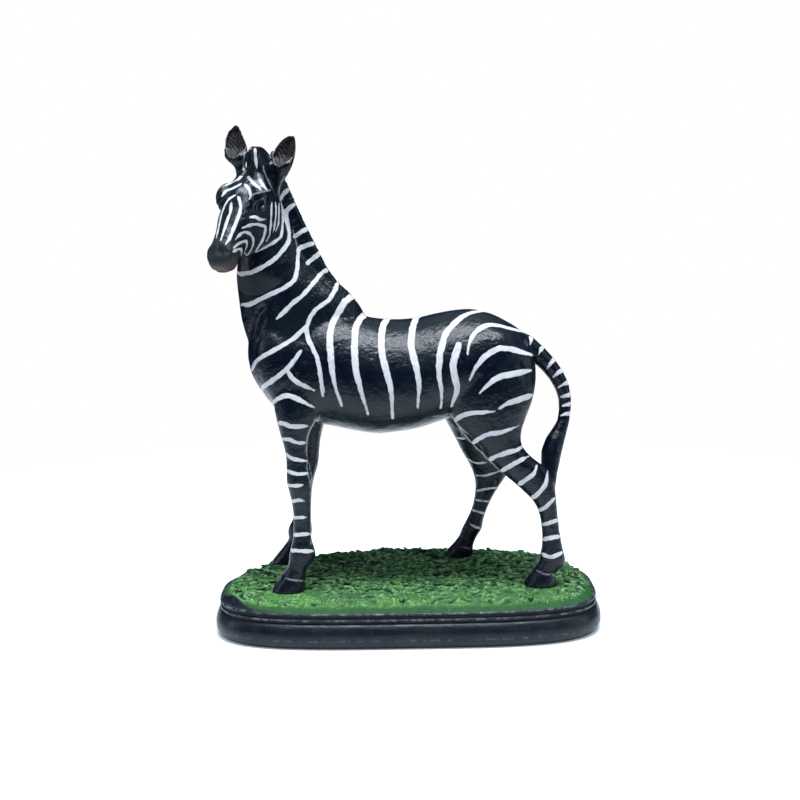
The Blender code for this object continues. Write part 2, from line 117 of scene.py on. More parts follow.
# Eye: place in the photograph, half length, half height, slant, rise of the ball, finely meshed zone
EYE_SEEN = (262.6, 206)
EYE_LENGTH = 1.95
EYE_TALL = 1.5
EYE_SLANT = 0.12
EYE_BALL = 0.75
EYE_ZONE = 6.5
# Groove, lids and crease round it: size as a share of the eye's, width, height
EYE_RINGS = [(1.2, 0.2, -0.5), (1.62, 0.22, 0.5), (2.05, 0.2, -0.3)]
# Hollow before it: how far ahead and above, radius, height
SOCKET = (3.6, 0.6, 2.2, -1.1)
# Fold under it: how far below, half width, reach along and height. Its painted line has a
# strength in place of the height.
EYE_FOLD = (4.9, 0.5, 3.6, -0.45)
EYE_FOLD_PAINT = (4.2, 0.25, 3.2, 0.6)
EYE_FOLD_SLANT = 0.25
# Highlight painted on the ball: how far ahead and above, radius
PAINTED_EYE_HIGHLIGHT = (0.1, -0.1, 0.42)

# Nostril: place in the photograph, half length, half height, slant, depth, height of its rim
NOSTRIL_SEEN = (226.4, 251.3)
NOSTRIL_LENGTH = 2.3
NOSTRIL_TALL = 1.4
NOSTRIL_SLANT = 0.35
NOSTRIL_DEPTH = 1.1
NOSTRIL_RIM = 0.15
# Mouth: level, half width of the line, depth
MOUTH_UP = -9.4
MOUTH_LINE = 0.55
MOUTH_DEPTH = 0.55

# Ears: depth of the hollow, its width as a share of the ear's, shift, and the hair and rim in it
EAR_DEPTH = 1.05
EAR_LEAF = 0.84
EAR_SHIFT = -0.06
EAR_LOCK_STEP = 2.1
EAR_LOCK_RISE = 0.17
EAR_RIM_RISE = 0.25
# Hair of the mane: how far it reaches below the edge, and its relief
MANE_REACH = 7.6
MANE_RELIEF = 0.3
# Width of the thin pale lines, painted highlights along edges
PALE_WIDTH = 0.35

# Loose leaves of grass: half length, half width, half thickness, lift of the tip, sizes,
# least distance apart, and how many are tried on each square metre
LEAF_LENGTH = 2.6
LEAF_WIDTH = 1.7
LEAF_THICKNESS = 0.5
LEAF_CURL = 0.8
LEAF_SIZES = (0.6, 1.25)
LEAF_SPACING = 3.4
LEAF_DENSITY = 90000
# Least and greatest turn of a leaf about each axis
LEAF_TURNS = ((-0.5, -0.15, -math.pi / 2 - 1.6), (0.5, 0.3, -math.pi / 2 + 1.3))
# Where the flatter grass in front ends, and the width of the dark green border
FRONT_LAWN = -30
LAWN_EDGE = 2.6
# Heights on the plinth where edges catch the light, painted on as highlights: how strongly, and how wide
# these painted glints are
GLINTS = [(RIM_HEIGHT - 0.25, 0.6), (RIM_HEIGHT - 3.1, 0.6), (FOOT_HEIGHT - 0.4, 0.22)]
GLINT_WIDTH = 0.3
# Black paint that runs wider over the grass at the head end: middle, half span and extra width
WIDE_LEDGE_AT = -24
WIDE_LEDGE_SPAN = 7
WIDE_LEDGE_EXTRA = 3.4

# Paints
PAINT_BLACK = (0.001, 0.002, 0.009, 1)
PAINT_SLATE = (0.003, 0.009, 0.012, 1)
PAINT_BLOOM = (0.01, 0.017, 0.019, 1)
STROKE_WHITE = (0.65, 0.65, 0.65, 1)
STROKE_GREY = (0.5, 0.51, 0.53, 1)
EAR_DARK = (0.012, 0.009, 0.01, 1)
EAR_VEIN = (0.055, 0.041, 0.041, 1)
# Thin pale paint; also the painted highlights on the head and along the plinth's edges
PALE_PAINT_AND_HIGHLIGHT_GREY = (0.33, 0.38, 0.42, 1)
EYE_GREY = (0.13, 0.16, 0.18, 1)
MUZZLE_SLATE = (0.012, 0.019, 0.021, 1)
LIP_BROWN = (0.075, 0.046, 0.044, 1)
GRASS_BRIGHT = (0.12, 0.38, 0.03, 1)
GRASS_MIDDLE = (0.036, 0.13, 0.03, 1)
GRASS_BACK = (0.02, 0.075, 0.03, 1)
# Painted shade in the grass's hollows and under its leaves
GRASS_HOLLOW_SHADE = (0.003, 0.014, 0.008, 1)
GRASS_CREST = (0.24, 0.48, 0.17, 1)
GRASS_EDGE = (0.008, 0.08, 0.014, 1)

# Roughness and shine of each finish, and the roughness of the duller places on it
FIGURE_ROUGHNESS = 0.36
BASE_ROUGHNESS = 0.4
FLOOR_ROUGHNESS = 0.9
ROUGH_STROKES = (0.5, 0.5, 0.5, 1)
ROUGH_SOFT_PARTS = (0.55, 0.55, 0.55, 1)
ROUGH_GRASS = (0.7, 0.7, 0.7, 1)
PAINT_SHINE = 0.3
FLOOR_SHINE = 0.1

# Grain in the paints, in cells per metre
CLOUD_CELLS = 38
FLECK_CELLS = 260
RAGGED_CELLS = 340
GLOSS_CELLS = 90
LUMP_CELLS = 190
PIT_CELLS = 600
STREAK_STRETCH = (0.22, 3.2, 1)
GRASS_PATCH_CELLS = 55
GRASS_BRUSH_CELLS = 90
GRASS_SWIRL_CELLS = 230
GRASS_SWIRL = 1.6
PLINTH_GLOSS_CELLS = 120
PLINTH_PIT_CELLS = 800
SCRATCH_STRETCH = (90, 90, 900)
FLOOR_CELLS = 3

# Relief of the paints: strength and height in metres
SKIN_BUMP = {"Strength": 0.8, "Distance": 0.0004}
STROKE_BUMP = {"Strength": 0.4, "Distance": 0.00012}
PLINTH_BUMP = {"Strength": 0.5, "Distance": 0.0003}

# Studio: floor, lights and the camera's sensor
FLOOR_LIGHT = (0.84, 0.9, 0.92, 1)
FLOOR_PALE = (0.81, 0.87, 0.89, 1)
FLOOR_TINT = (0.95, 1, 1, 1)
FLOOR_REACH = 0.46
HORIZON_LIGHT = (0.015, 0.025, 0.08, 1)
OVERHEAD_LIGHT = (0.46, 0.54, 0.6, 1)
BACKDROP_LIGHT = (1, 1, 1, 1)
LAMP_LIGHT = (0.87, 0.92, 1)
LAMP_AIM = Vector((0, 0, 0.1))
# Softboxes: place, width and height, power
SOFTBOXES = {
    "top_box": ((0.02, -0.2, 1.1), (0.7, 0.26), 20),
    "left_box": ((-1, -0.1, 0.4), (0.3, 0.5), 1.6),
    "right_box": ((1, -0.2, 0.4), (0.3, 0.5), 1.6),
}
FLOOR_GLOW = 0.22
SENSOR_WIDTH = 36

# How far the sections narrow towards their top, and how squarish they are
TORSO_TAPER = -0.12
TORSO_POWER = 2.15
NECK_TAPER = -0.18
MANE_TAPER = -0.1
HAIR_POWER = 3
LEG_POWER = 2.2
HEAD_TAPER = 0.12
HEAD_POWER = 2.4

# Torso: place along the body, underside, back, half width
TORSO = [
    (-72.4, 104, 112, 4),
    (-71, 98, 117, 9),
    (-67.8, 92, 122, 14),
    (-62, 83.6, 126, 18),
    (-54, 77.6, 129, 20.5),
    (-44, 74.5, 127, 22.5),
    (-34, 73, 127.5, 24.5),
    (-24, 70.8, 125.4, 26),
    (-14, 69.3, 123.2, 27),
    (-4, 69.9, 122.3, 27.5),
    (6, 71.5, 122.9, 27.5),
    (14, 74, 124.6, 27),
    (22, 76.5, 126, 26.5),
    (31, 80, 126.5, 26),
    (40, 84, 124.4, 24.5),
    (48, 89, 120.4, 21.5),
    (53.6, 95, 116.6, 16.5),
    (57.4, 100, 111.5, 9),
]

# Neck: height, throat, crest under the mane, side offset, half width
NECK = [
    (102, -69.6, -24, 0, 19.5),
    (112, -72, -19, 0, 18.5),
    (118, -73.8, -16.8, 0, 17),
    (123, -75, -17.4, 0, 15.8),
    (128, -75.6, -19.6, -0.2, 14.9),
    (132, -75.9, -22.6, -0.4, 14.4),
    (137, -76.3, -29, -0.8, 13.6),
    (144, -76.5, -37.6, -1.2, 12.3),
    (152, -75.4, -44.2, -1.2, 10.8),
    (160, -73.9, -47.6, -1, 9.6),
    (168, -72.5, -51, -0.8, 8.8),
    (176, -71.5, -54, -0.8, 8.2),
    (184, -70, -57.4, -1, 7),
]

# Mane: outer edge along the body, height, side offset, standing height
MANE = [
    (-60, 196, -2, 6),
    (-55.2, 191, -1.9, 6),
    (-51.8, 185, -1.8, 6),
    (-48.2, 176, -1.6, 5.8),
    (-43.6, 165.4, -1.4, 5.8),
    (-38.4, 154.5, -1.1, 6),
    (-34.4, 146, -0.8, 5.6),
    (-29.7, 139.6, -0.4, 4),
    (-24.4, 134.6, 0, 2),
    (-20.8, 129.8, 0, 0.6),
]
MANE_HALF_WIDTH = 2.9
MANE_ROOT = 1.5

# Forelegs: height, half depth, half width
FORELEG = [
    (96, 14, 8),
    (88, 11.6, 8.4),
    (80, 9.7, 7.6),
    (72, 6.7, 6),
    (63, 5.1, 4.9),
    (57, 5.6, 4.9),
    (50, 6.1, 5.4),
    (44, 5.1, 4.9),
    (37, 4.4, 3.8),
    (29, 4.3, 3.7),
    (23, 4.6, 4.1),
    (19.5, 5.7, 4.8),
    (16, 6.3, 5),
    (12.5, 5.6, 4.7),
    (9.5, 5, 4.5),
    (5.5, 6.2, 5.7),
    (0, 7.9, 6.8),
]

# Line through the middle of each foreleg: height, along the body, side offset
NEAR_FORELEG_LINE = [
    (96, -48.5, -12.5),
    (80, -49.3, -16),
    (72, -50.4, -17.2),
    (63, -49.9, -18),
    (57, -49.2, -18.4),
    (50, -48.7, -18.8),
    (37, -48, -19.2),
    (23, -48.2, -19.8),
    (16, -48.3, -20),
    (12.5, -49.4, -20.2),
    (9.5, -51.2, -20.4),
    (5.5, -53, -20.6),
    (0, -55.1, -20.8),
]
FAR_FORELEG_LINE = [
    (96, -46.5, 12.5),
    (80, -45.4, 16),
    (72, -45.4, 17.2),
    (63, -46.2, 18),
    (57, -47.4, 18.4),
    (50, -48.8, 18.8),
    (44, -49.7, 19),
    (37, -50.4, 19.2),
    (24, -51.3, 19.8),
    (19.5, -52.4, 19.9),
    (16, -52.9, 20),
    (12.5, -53.2, 20.1),
    (9.5, -55.8, 20.2),
    (5.5, -57.8, 20.3),
    (1, -59.7, 20.4),
]

# Hind legs: height, front edge, rear edge, side offset, half width
NEAR_HIND_LEG = [
    (114, 33, 53, -10, 7),
    (107, 24, 58.4, -12, 11),
    (99, 19, 59.6, -13, 12.8),
    (91, 17.5, 59, -14, 13.2),
    (84, 18.5, 57.2, -15, 12.4),
    (78, 21, 54.8, -16, 11.2),
    (72, 25, 52.8, -17, 9.6),
    (66, 30.4, 52.8, -17.8, 7.8),
    (61, 35.2, 56.4, -18.3, 6.6),
    (57, 39, 61.4, -18.7, 6.1),
    (54, 42.2, 65.6, -18.9, 5.8),
    (50, 46.8, 67.2, -19, 5.6),
    (45.5, 51.8, 68, -19, 5.2),
    (40, 57.2, 68.6, -19, 4.6),
    (34, 60.2, 69.2, -18.8, 3.9),
    (26, 61.5, 70.2, -18.6, 3.8),
    (20, 61.8, 71.2, -18.5, 4.3),
    (14.5, 61, 72.4, -18.3, 4.9),
    (11, 60.4, 73.2, -18.2, 5),
    (8.6, 59, 71.8, -18.2, 4.8),
    (6, 57, 69, -18, 5.4),
    (3.5, 55.6, 68.6, -18, 6.2),
    (0, 53.2, 69.4, -18, 6.9),
]
FAR_HIND_LEG = [
    (114, 33, 53, 10, 7),
    (107, 22, 58.4, 12, 11),
    (99, 17, 59.6, 13, 12.8),
    (91, 14.5, 58.2, 14, 13.2),
    (84, 14.5, 55, 15.4, 12.4),
    (78, 16.2, 51.4, 16.8, 11.2),
    (72, 18.9, 48.8, 18.4, 9.6),
    (66, 22.1, 47.2, 19.8, 7.8),
    (60, 24.9, 47.5, 21, 6.6),
    (54, 27.8, 49.8, 22, 6),
    (48, 31.1, 52.2, 22.8, 5.6),
    (43, 33.1, 50.4, 23.4, 5.1),
    (38, 34, 47.2, 23.9, 4.5),
    (32, 33.6, 43.6, 24.4, 3.9),
    (25, 32.2, 40.4, 25, 3.8),
    (19, 29.5, 38.5, 25.4, 4.3),
    (14.5, 27.3, 37.7, 25.7, 4.9),
    (10, 25.4, 35, 26, 4.5),
    (6.5, 22.6, 33.6, 26.2, 5.6),
    (1.6, 18.2, 33.2, 26.4, 6.9),
]

# Tail: along the body, height, side offset, half thickness
TAIL = [
    (50, 113.4, 0, 4),
    (56.8, 110.2, 0, 4.2),
    (62, 104.9, 0, 4.5),
    (66.6, 100.2, -0.2, 4.2),
    (70.4, 95.2, -0.5, 3.9),
    (73.2, 89.6, -0.9, 3.6),
    (74.5, 83.8, -1.3, 3.2),
    (74.4, 78, -2, 3),
    (73.4, 73, -3.2, 3.1),
    (71.6, 69, -4.2, 3.7),
    (69.3, 64.5, -5.6, 4.7),
    (67.6, 60, -7.2, 5),
    (66.8, 55, -8.8, 4.6),
    (66.3, 49.5, -11, 3.7),
    (66.6, 44, -12.8, 2.5),
    (66.8, 39, -13.8, 1.5),
    (66.9, 35.5, -14.3, 1),
]

# Head: its place and turn, then its own sections
HEAD_PLACE = (-67.7, -5.6, 192.5)
HEAD_YAW = 62
HEAD_PITCH = 50.5

# Head sections: distance from the poll, brow line, jaw line, half width
HEAD = [
    (-4, -6, -16, 5),
    (0, -1.6, -22, 8),
    (5, 0.6, -25.6, 10),
    (11, 1.4, -27.8, 11.2),
    (17, 1.2, -28.4, 11.4),
    (23, 0.6, -26.4, 10.8),
    (29, 0, -22.6, 9.2),
    (35, -0.5, -18.4, 7),
    (41, -0.8, -15.2, 6),
    (46, -1.6, -14.2, 6.2),
    (49.6, -3.4, -13.2, 5.6),
    (51.6, -6, -11.4, 4),
]

# Swellings on both sides of the head: distance, height, side, and the three radii
HEAD_SWELLINGS = [
    (14.2, -2.4, 9.6, 6.2, 3.7, 3.9),
    (18.6, -5.4, 8.4, 4.2, 3.4, 3.4),
    (16, -16.4, 7, 13.8, 12, 5.2),
    (45.6, -4.6, 4.2, 3.4, 3, 2.4),
    (45, -12.4, 1.6, 4.4, 2.8, 3),
]

# Forelock between the ears: height, reach forward, reach back, half width
FORELOCK_PLACE = (-64.5, -8)
FORELOCK = [
    (184, 10, -4, 5.4),
    (190, 9, -5.5, 5),
    (195.5, 7, -6.5, 4),
    (198.6, 4.5, -6.5, 3.4),
    (200.6, 1.5, -5, 2),
]

# Ears: height, along the body, side offset, half width
FAR_EAR = [
    (180, -70.5, -3, 3.8),
    (185, -71.8, -2.6, 3),
    (189.5, -72.6, -2.2, 2.6),
    (192.5, -73.2, -1.8, 3),
    (195, -74.2, -1.4, 4.8),
    (197.5, -74.9, -1, 5.9),
    (201, -75.3, -0.4, 6.1),
    (205, -75.6, 0.4, 5),
    (208, -75.4, 1.2, 3.6),
    (210.2, -75, 1.8, 2.2),
    (211.3, -74.7, 2, 1.2),
]
NEAR_EAR = [
    (176, -60, -5.4, 3.4),
    (181, -57.4, -6.4, 3.3),
    (186.5, -54.8, -7.4, 3.2),
    (190, -53.8, -8, 4.4),
    (193, -53.7, -8, 5.6),
    (196.6, -53.1, -7.8, 6.1),
    (199.6, -52.2, -7.6, 5.6),
    (202.5, -51, -7.4, 4.5),
    (204.6, -49.9, -7.3, 3),
    (206, -49, -7.2, 1.4),
]
EAR_FACING = (-0.35, -1, 0)
EAR_BACK = 0.72
EAR_HOLLOW = 0.14
EAR_STALK = 0.62
EAR_OPENING = 5

# Swellings on the body, each on both sides: place, radii, lean in degrees
BODY_SWELLINGS = [
    ((-52.5, 13.5, 99), (13, 8, 22), -24),
    ((-58.8, 8, 101), (10, 8, 12), 0),
    ((38, 15, 102), (18, 9.5, 17), 12),
]


def clamp_share(value):
    value = min(max(value, 0), 1)
    return value * value * (3 - 2 * value)


def smooth_rows(rows, step):
    """Rows spaced by about step along their first column, on a cubic through the given ones."""
    out = []
    last = len(rows) - 1

    def slope(i):
        low, high = rows[max(i - 1, 0)], rows[min(i + 1, last)]
        span = high[0] - low[0]
        return [(b - a) / span for a, b in zip(low, high)]

    for i in range(last):
        start, end = rows[i], rows[i + 1]
        span = end[0] - start[0]
        pieces = max(1, round(abs(span) / step))
        from_slope, to_slope = slope(i), slope(i + 1)
        for k in range(pieces):
            t = k / pieces
            a = 2 * t**3 - 3 * t**2 + 1
            b = t**3 - 2 * t**2 + t
            c = 3 * t**2 - 2 * t**3
            d = t**3 - t**2
            out.append([
                a * p + b * span * m + c * q + d * span * n
                for p, m, q, n in zip(start, from_slope, end, to_slope)
            ])
    out.append(list(rows[last]))
    return out


def squared(value, power):
    """A cosine or sine pushed outwards, so that a round section turns squarish."""
    return math.copysign(abs(value) ** (2 / power), value)


def egg_ring(middle, across, up, half_across, half_up, taper=0.0, power=2.0):
    """A closed section. A negative taper narrows it towards up; a power over 2 squares it."""
    points = []
    for k in range(RING_SIDES):
        angle = 2 * math.pi * k / RING_SIDES
        c, s = squared(math.cos(angle), power), squared(math.sin(angle), power)
        points.append(middle + across * (half_across * c * (1 + taper * s)) + up * (half_up * s))
    return points


def add_loft(bm, rings):
    """A closed skin over the rings, with a fan at each end."""
    layers = [[bm.verts.new(p) for p in ring] for ring in rings]
    sides = len(rings[0])
    for low, high in zip(layers, layers[1:]):
        for k in range(sides):
            n = (k + 1) % sides
            bm.faces.new((low[k], low[n], high[n], high[k]))
    for layer, flip in ((layers[0], True), (layers[-1], False)):
        middle = bm.verts.new(sum((v.co for v in layer), Vector()) / sides)
        for k in range(sides):
            n = (k + 1) % sides
            corners = (layer[n], layer[k], middle) if flip else (layer[k], layer[n], middle)
            bm.faces.new(corners)


def add_ball(bm, place, radii, turn):
    """An ellipsoid with its radii along the columns of turn."""
    matrix = Matrix.Translation(place) @ turn.to_4x4() @ Matrix.Diagonal((*radii, 1))
    bmesh.ops.create_uvsphere(
        bm, u_segments=RING_SIDES, v_segments=RING_SIDES // 2, radius=1, matrix=matrix
    )


def add_torso(bm):
    rings = []
    for x, low, high, half in smooth_rows(TORSO, RING_STEP):
        middle = Vector((x, 0, (low + high) / 2))
        tall = (high - low) / 2
        rings.append(egg_ring(middle, SIDEWAYS, UPWARDS, half, tall, TORSO_TAPER, TORSO_POWER))
    add_loft(bm, rings)
    for (x, y, z), radii, lean in BODY_SWELLINGS:
        for side in (-1, 1):
            add_ball(bm, Vector((x, side * y, z)), radii, Matrix.Rotation(math.radians(lean), 3, "Y"))


def add_neck(bm):
    rings = []
    for z, throat, crest, y, half in smooth_rows(NECK, RING_STEP):
        middle = Vector(((throat + crest) / 2, y, z))
        deep = (crest - throat) / 2
        rings.append(egg_ring(middle, -SIDEWAYS, REARWARDS, half, deep, NECK_TAPER))
    add_loft(bm, rings)


def walk_along(rows, side):
    """Each point of a line, the way across it, the way out from it and its size."""
    points = [Vector((x, y, z)) for x, z, y, _ in rows]
    for i, point in enumerate(points):
        run = (points[min(i + 1, len(rows) - 1)] - points[max(i - 1, 0)]).normalized()
        out = run.cross(side).normalized()
        yield point, out.cross(run), out, rows[i][3]


def add_mane(bm):
    rings = []
    for edge, across, out, tall in walk_along(MANE, SIDEWAYS):
        half = tall / 2 + MANE_ROOT
        middle = edge - out * half
        rings.append(egg_ring(middle, across, out, MANE_HALF_WIDTH, half, MANE_TAPER, HAIR_POWER))
    add_loft(bm, rings)


def add_tail(bm):
    line = walk_along(TAIL, -SIDEWAYS)
    add_loft(bm, [egg_ring(middle, across, out, half, half) for middle, across, out, half in line])


def add_level_leg(bm, rows):
    """A leg as level sections: height, front edge, rear edge, side offset, half width."""
    rings = []
    for z, front, rear, y, half in smooth_rows(rows, RING_STEP):
        middle = Vector(((front + rear) / 2, y, z))
        rings.append(egg_ring(middle, SIDEWAYS, REARWARDS, half, (rear - front) / 2, 0, LEG_POWER))
    add_loft(bm, rings)


def foreleg_rows(line):
    """The forelegs share their sections; each has its own line."""
    line = smooth_rows(line, RING_STEP)
    rows = []
    for z, half_depth, half_width in FORELEG:
        z = max(z, line[-1][0])
        _, x, y = min(line, key=lambda point: abs(point[0] - z))
        rows.append((z, x - half_depth, x + half_depth, y, half_width))
    return rows


def leg_rows():
    """Rows of all four legs, each from the top down to its sole."""
    forelegs = [foreleg_rows(line) for line in (NEAR_FORELEG_LINE, FAR_FORELEG_LINE)]
    return [*forelegs, NEAR_HIND_LEG, FAR_HIND_LEG]


def head_frame():
    """Forward along the face, up off the brow and towards the animal's left, as columns."""
    yaw, pitch = math.radians(HEAD_YAW), math.radians(HEAD_PITCH)
    level = Vector((-math.cos(yaw), -math.sin(yaw), 0))
    forward = level * math.cos(pitch) - Vector((0, 0, math.sin(pitch)))
    left = Vector((math.sin(yaw), -math.cos(yaw), 0))
    return Matrix((forward, forward.cross(left), left)).transposed()


def in_head(turn, place):
    return Vector(HEAD_PLACE) + turn @ Vector(place)


def add_head(bm):
    turn = head_frame()
    _, up, left = turn.col
    rings = []
    for along, brow, jaw, half in smooth_rows(HEAD, RING_STEP):
        middle = in_head(turn, (along, (brow + jaw) / 2, 0))
        tall = (brow - jaw) / 2
        rings.append(egg_ring(middle, left, up, half, tall, HEAD_TAPER, HEAD_POWER))
    add_loft(bm, rings)
    for along, height, side, *radii in HEAD_SWELLINGS:
        for sign in (-1, 1):
            add_ball(bm, in_head(turn, (along, height, sign * side)), radii, turn)


def add_forelock(bm):
    _, _, left = head_frame().col
    level = UPWARDS.cross(left)
    rings = []
    for z, fore, back, half in smooth_rows(FORELOCK, RING_STEP):
        middle = Vector((*FORELOCK_PLACE, z)) + level * ((fore + back) / 2)
        rings.append(egg_ring(middle, left, level, half, (fore - back) / 2, 0, HAIR_POWER))
    add_loft(bm, rings)


def add_ear(bm, rows):
    """A leaf-shaped ear: a round stalk that opens into a shallow hollow in front."""
    face = Vector(EAR_FACING).normalized()
    across = face.cross(UPWARDS)
    widest = max(rows, key=lambda row: row[3])[0]
    rings = []
    for z, x, y, half in smooth_rows(rows, RING_STEP / 2):
        opened = clamp_share((z - widest) / EAR_OPENING + 1)
        front = EAR_STALK * (1 - opened) - EAR_HOLLOW * opened
        ring = []
        for k in range(RING_SIDES):
            angle = 2 * math.pi * k / RING_SIDES
            c, s = squared(math.cos(angle), HEAD_POWER), squared(math.sin(angle), HEAD_POWER)
            depth = half * s * (EAR_BACK if s < 0 else front)
            ring.append(Vector((x, y, z)) + across * (half * c) + face * depth)
        rings.append(ring)
    add_loft(bm, rings)


# The photographer's place, by which points read off the photograph are carried onto the casting
VIEW_PLACE = Vector((-2.4, -516.83, 188.11))
VIEW_PITCH = 9.1
VIEW_ROLL = 0.88
VIEW_FOCUS = 1119
PHOTO_MIDDLE = 400
DRAWN_STEP = 1.8
SLIP = 8

# How far from a stroke its paint field reaches
FIELD_REACH = 3

# Painted stripes, each a line of places in the photograph
BRIDGE_STRIPES = [
    [(235.6, 195.1), (228.5, 199.5), (223.6, 208.2), (220.4, 219), (216.1, 238.5)],
    [(231.2, 202.7), (230.7, 210.3), (227.4, 220.1), (224.2, 229.8), (220.4, 240.7)],
    [(237.7, 196.2), (240.5, 204.9), (239.4, 213.6), (236.1, 222.2), (229.6, 238.5), (225.3, 245)],
    [(242.6, 176.2), (236.1, 180), (231.8, 182.7), (225.3, 185.4)],
    [(241, 183.8), (232.9, 188.1), (226.4, 190.8), (222, 196.2)],
    [(244.8, 184.3), (249.1, 189.7), (250.8, 196.2), (249.1, 198.9)],
    [(248, 176.7), (253.5, 183.2), (258.9, 187.6), (261.1, 190.8)],
    [(258.3, 173.5), (261.1, 182.1), (265.4, 188.1), (268.1, 190.8)],
    [(255.4, 148.8), (255.8, 159.4), (256.7, 168)],
]
CHEEK_STRIPES = [
    [(249.7, 217.4), (255.6, 216.8), (260, 219.5), (265.4, 219.5)],
    [(242.1, 228.2), (249.1, 225.5), (255.6, 224.4), (264.3, 226), (265.4, 230.9), (263.2, 238.5),
     (255.1, 252.6)],
    [(235, 240.1), (240.5, 234.2), (245.9, 232), (251.3, 235.3), (253.5, 241.8), (251.3, 249.4),
     (247.5, 255.3)],
    [(233.4, 247.7), (239.4, 243.4), (245.9, 241.2), (247, 245), (245.3, 250.4), (243.7, 253.7)],
    [(232.3, 252.1), (237.2, 249.9), (241, 249.4), (241.5, 253.1), (241.3, 256.9)],
    [(271.9, 201.7), (271.4, 213.6), (270.8, 225.5), (269.7, 234.2), (266.5, 241.2)],
    [(275.5, 201.7), (276, 213.6), (274.9, 224.4), (273.2, 232.5)],
    [(279.3, 202.7), (278.9, 213.6), (278.2, 224.4), (275.7, 230.9)],
    [(281.1, 201.7), (282.7, 213.6), (281.6, 234.2), (276.2, 240.7), (267.6, 246.1), (255.1, 252.6)],
]
NECK_STRIPES = [
    [(294.7, 204.4), (288.2, 209.2), (286, 214.7), (289.2, 233.1), (288.2, 241.8), (282.7, 250.4),
     (271.9, 261.3), (254.6, 271), (247, 273.2), (239.4, 273.8), (236.1, 270)],
    [(313.6, 243.4), (304.4, 246.1), (298.5, 250.4), (297.4, 267.8), (294.4, 279.2), (287.2, 286.3),
     (268.9, 295), (249.5, 304.2), (240.8, 304.7)],
    [(326.5, 270), (319.9, 275.1), (303.6, 294.5), (292.3, 303.7), (276.5, 319)],
    [(288.2, 189.7), (282.7, 195.1), (280, 200.6)],
    [(307.1, 228.8), (300.1, 232.6), (293.6, 237.4)],
    [(320.6, 252.2), (313, 258.6), (306.6, 264)],
    [(337.7, 283.3), (334.2, 291.4), (328, 300.6), (315.8, 309.8), (309.7, 318), (306.6, 327.1)],
    [(307.5, 325), (301.5, 331.2), (289.3, 341.4), (260.7, 357.8), (254.6, 363.9), (251.5, 371)],
    [(306.6, 326), (307.6, 337.3), (312.7, 348.6), (317.8, 360.8), (321.9, 385.3), (322.9, 396.5)],
]
CHEST_STRIPES = [
    [(301, 350.6), (292.3, 362.9), (281.1, 374.1), (263.8, 386.8), (262.2, 391.4), (264.8, 396.5)],
    [(287.2, 371), (292.3, 378.2), (299.5, 383.3), (314.3, 390.4)],
    [(262.2, 390), (264.5, 396), (268.5, 401), (272.6, 404.5)],
    [(272.4, 403.2), (278, 398.6), (286.2, 395.5), (294.4, 397.6), (315.3, 407.8)],
    [(278, 422.6), (285.2, 424.1), (292.3, 426.6), (307.6, 426.1)],
]
TORSO_STRIPES = [
    [(353, 295.5), (345.4, 301.6), (338.2, 312.9), (333.1, 322), (330.1, 335.3), (331.1, 361.8),
     (335.2, 386.3), (341.8, 405.7)],
    [(367.5, 312), (364.8, 314.5), (358.7, 321), (355.1, 333.3), (355.1, 361.8), (359.7, 386.3),
     (368, 414)],
    [(388.5, 317), (386.7, 319.5), (382.7, 327.5), (381.3, 340.9), (382.7, 357), (390.7, 389.1),
     (392.7, 418.6)],
    [(417.8, 314.2), (416.2, 318), (412.8, 327.5), (410.8, 342.2), (412.8, 354.3), (418.8, 381.1),
     (417.5, 407.9)],
    [(485.8, 310.8), (473.7, 312.1), (463, 316.1), (452.3, 325.5), (444.3, 336.9), (438.9, 365),
     (441.6, 394.5), (440.9, 407.9)],
    [(458.8, 344.5), (455.2, 355.6), (453, 366.3), (455, 378.4), (457, 389.1), (451.6, 406.5)],
]
HAUNCH_STRIPES = [
    [(467.7, 354.3), (469, 344.9), (473.7, 334.2), (481.8, 327.5), (493.8, 324.8), (522.6, 331.5)],
    [(469.5, 380.4), (475.1, 369), (483.1, 358.3), (493.8, 350.9), (505.9, 348.3), (532.7, 355)],
    [(479.8, 393.1), (488.5, 384.4), (499.2, 377.1), (511.2, 374.4), (531.3, 370.4)],
    [(499.2, 408.5), (508.6, 403.2), (532.7, 395.1)],
]
THIGH_STRIPES = [
    [(452, 423), (460.4, 416.6), (471.1, 413.2), (484.5, 412.1), (496.5, 410.9)],
    [(472.4, 443.3), (480.4, 438), (489.8, 434), (500.5, 432.6), (518.6, 425.9)],
    [(487.8, 461.4), (496.5, 456.1), (517.9, 449.4), (523.3, 444.7)],
    [(501.2, 471.5), (511.2, 465.4), (528.7, 456.1)],
    [(518.6, 484.9), (527.3, 478.8), (534, 473.5), (536.7, 465.4)],
    [(532, 498.9), (539.4, 492.2), (545.5, 484.2), (547.8, 471)],
]
TAIL_STRIPES = [
    [(531.5, 336), (530.6, 341), (530.2, 345)],
    [(542.8, 347), (540.4, 350.5), (538.4, 355)],
    [(555.4, 358.4), (551.4, 362.4), (547, 368.6)],
    [(563.6, 369.4), (558.6, 372.4), (553, 377.4)],
    [(569.6, 382), (564.4, 384), (558.2, 387.4)],
    [(572.6, 394.2), (567, 395.4), (560.8, 397)],
    [(573.2, 404), (567, 404.6), (562.4, 405.8)],
    [(572.2, 413.6), (566, 413.8), (560.4, 416)],
]
NEAR_FORELEG_STRIPES = [
    [(282, 439), (290, 440), (298, 443), (307, 443)],
    [(284, 452), (291, 458), (298, 460), (307, 461)],
    [(285, 470), (293, 473), (301, 474), (308, 473)],
    [(286, 485), (295, 486), (303, 485)],
    [(289, 502), (298, 500.4), (305, 501)],
    [(292, 518), (307, 517)],
    [(292, 535), (311, 534)],
    [(288, 550), (301, 551), (314, 551)],
]
NEAR_HIND_STRIPES = [
    [(537, 511), (545, 507.5), (555, 498)],
    [(541, 525), (549, 523), (558, 520)],
    [(541, 540), (549, 538), (560, 536.5)],
    [(540, 553), (551, 557), (563, 552)],
]
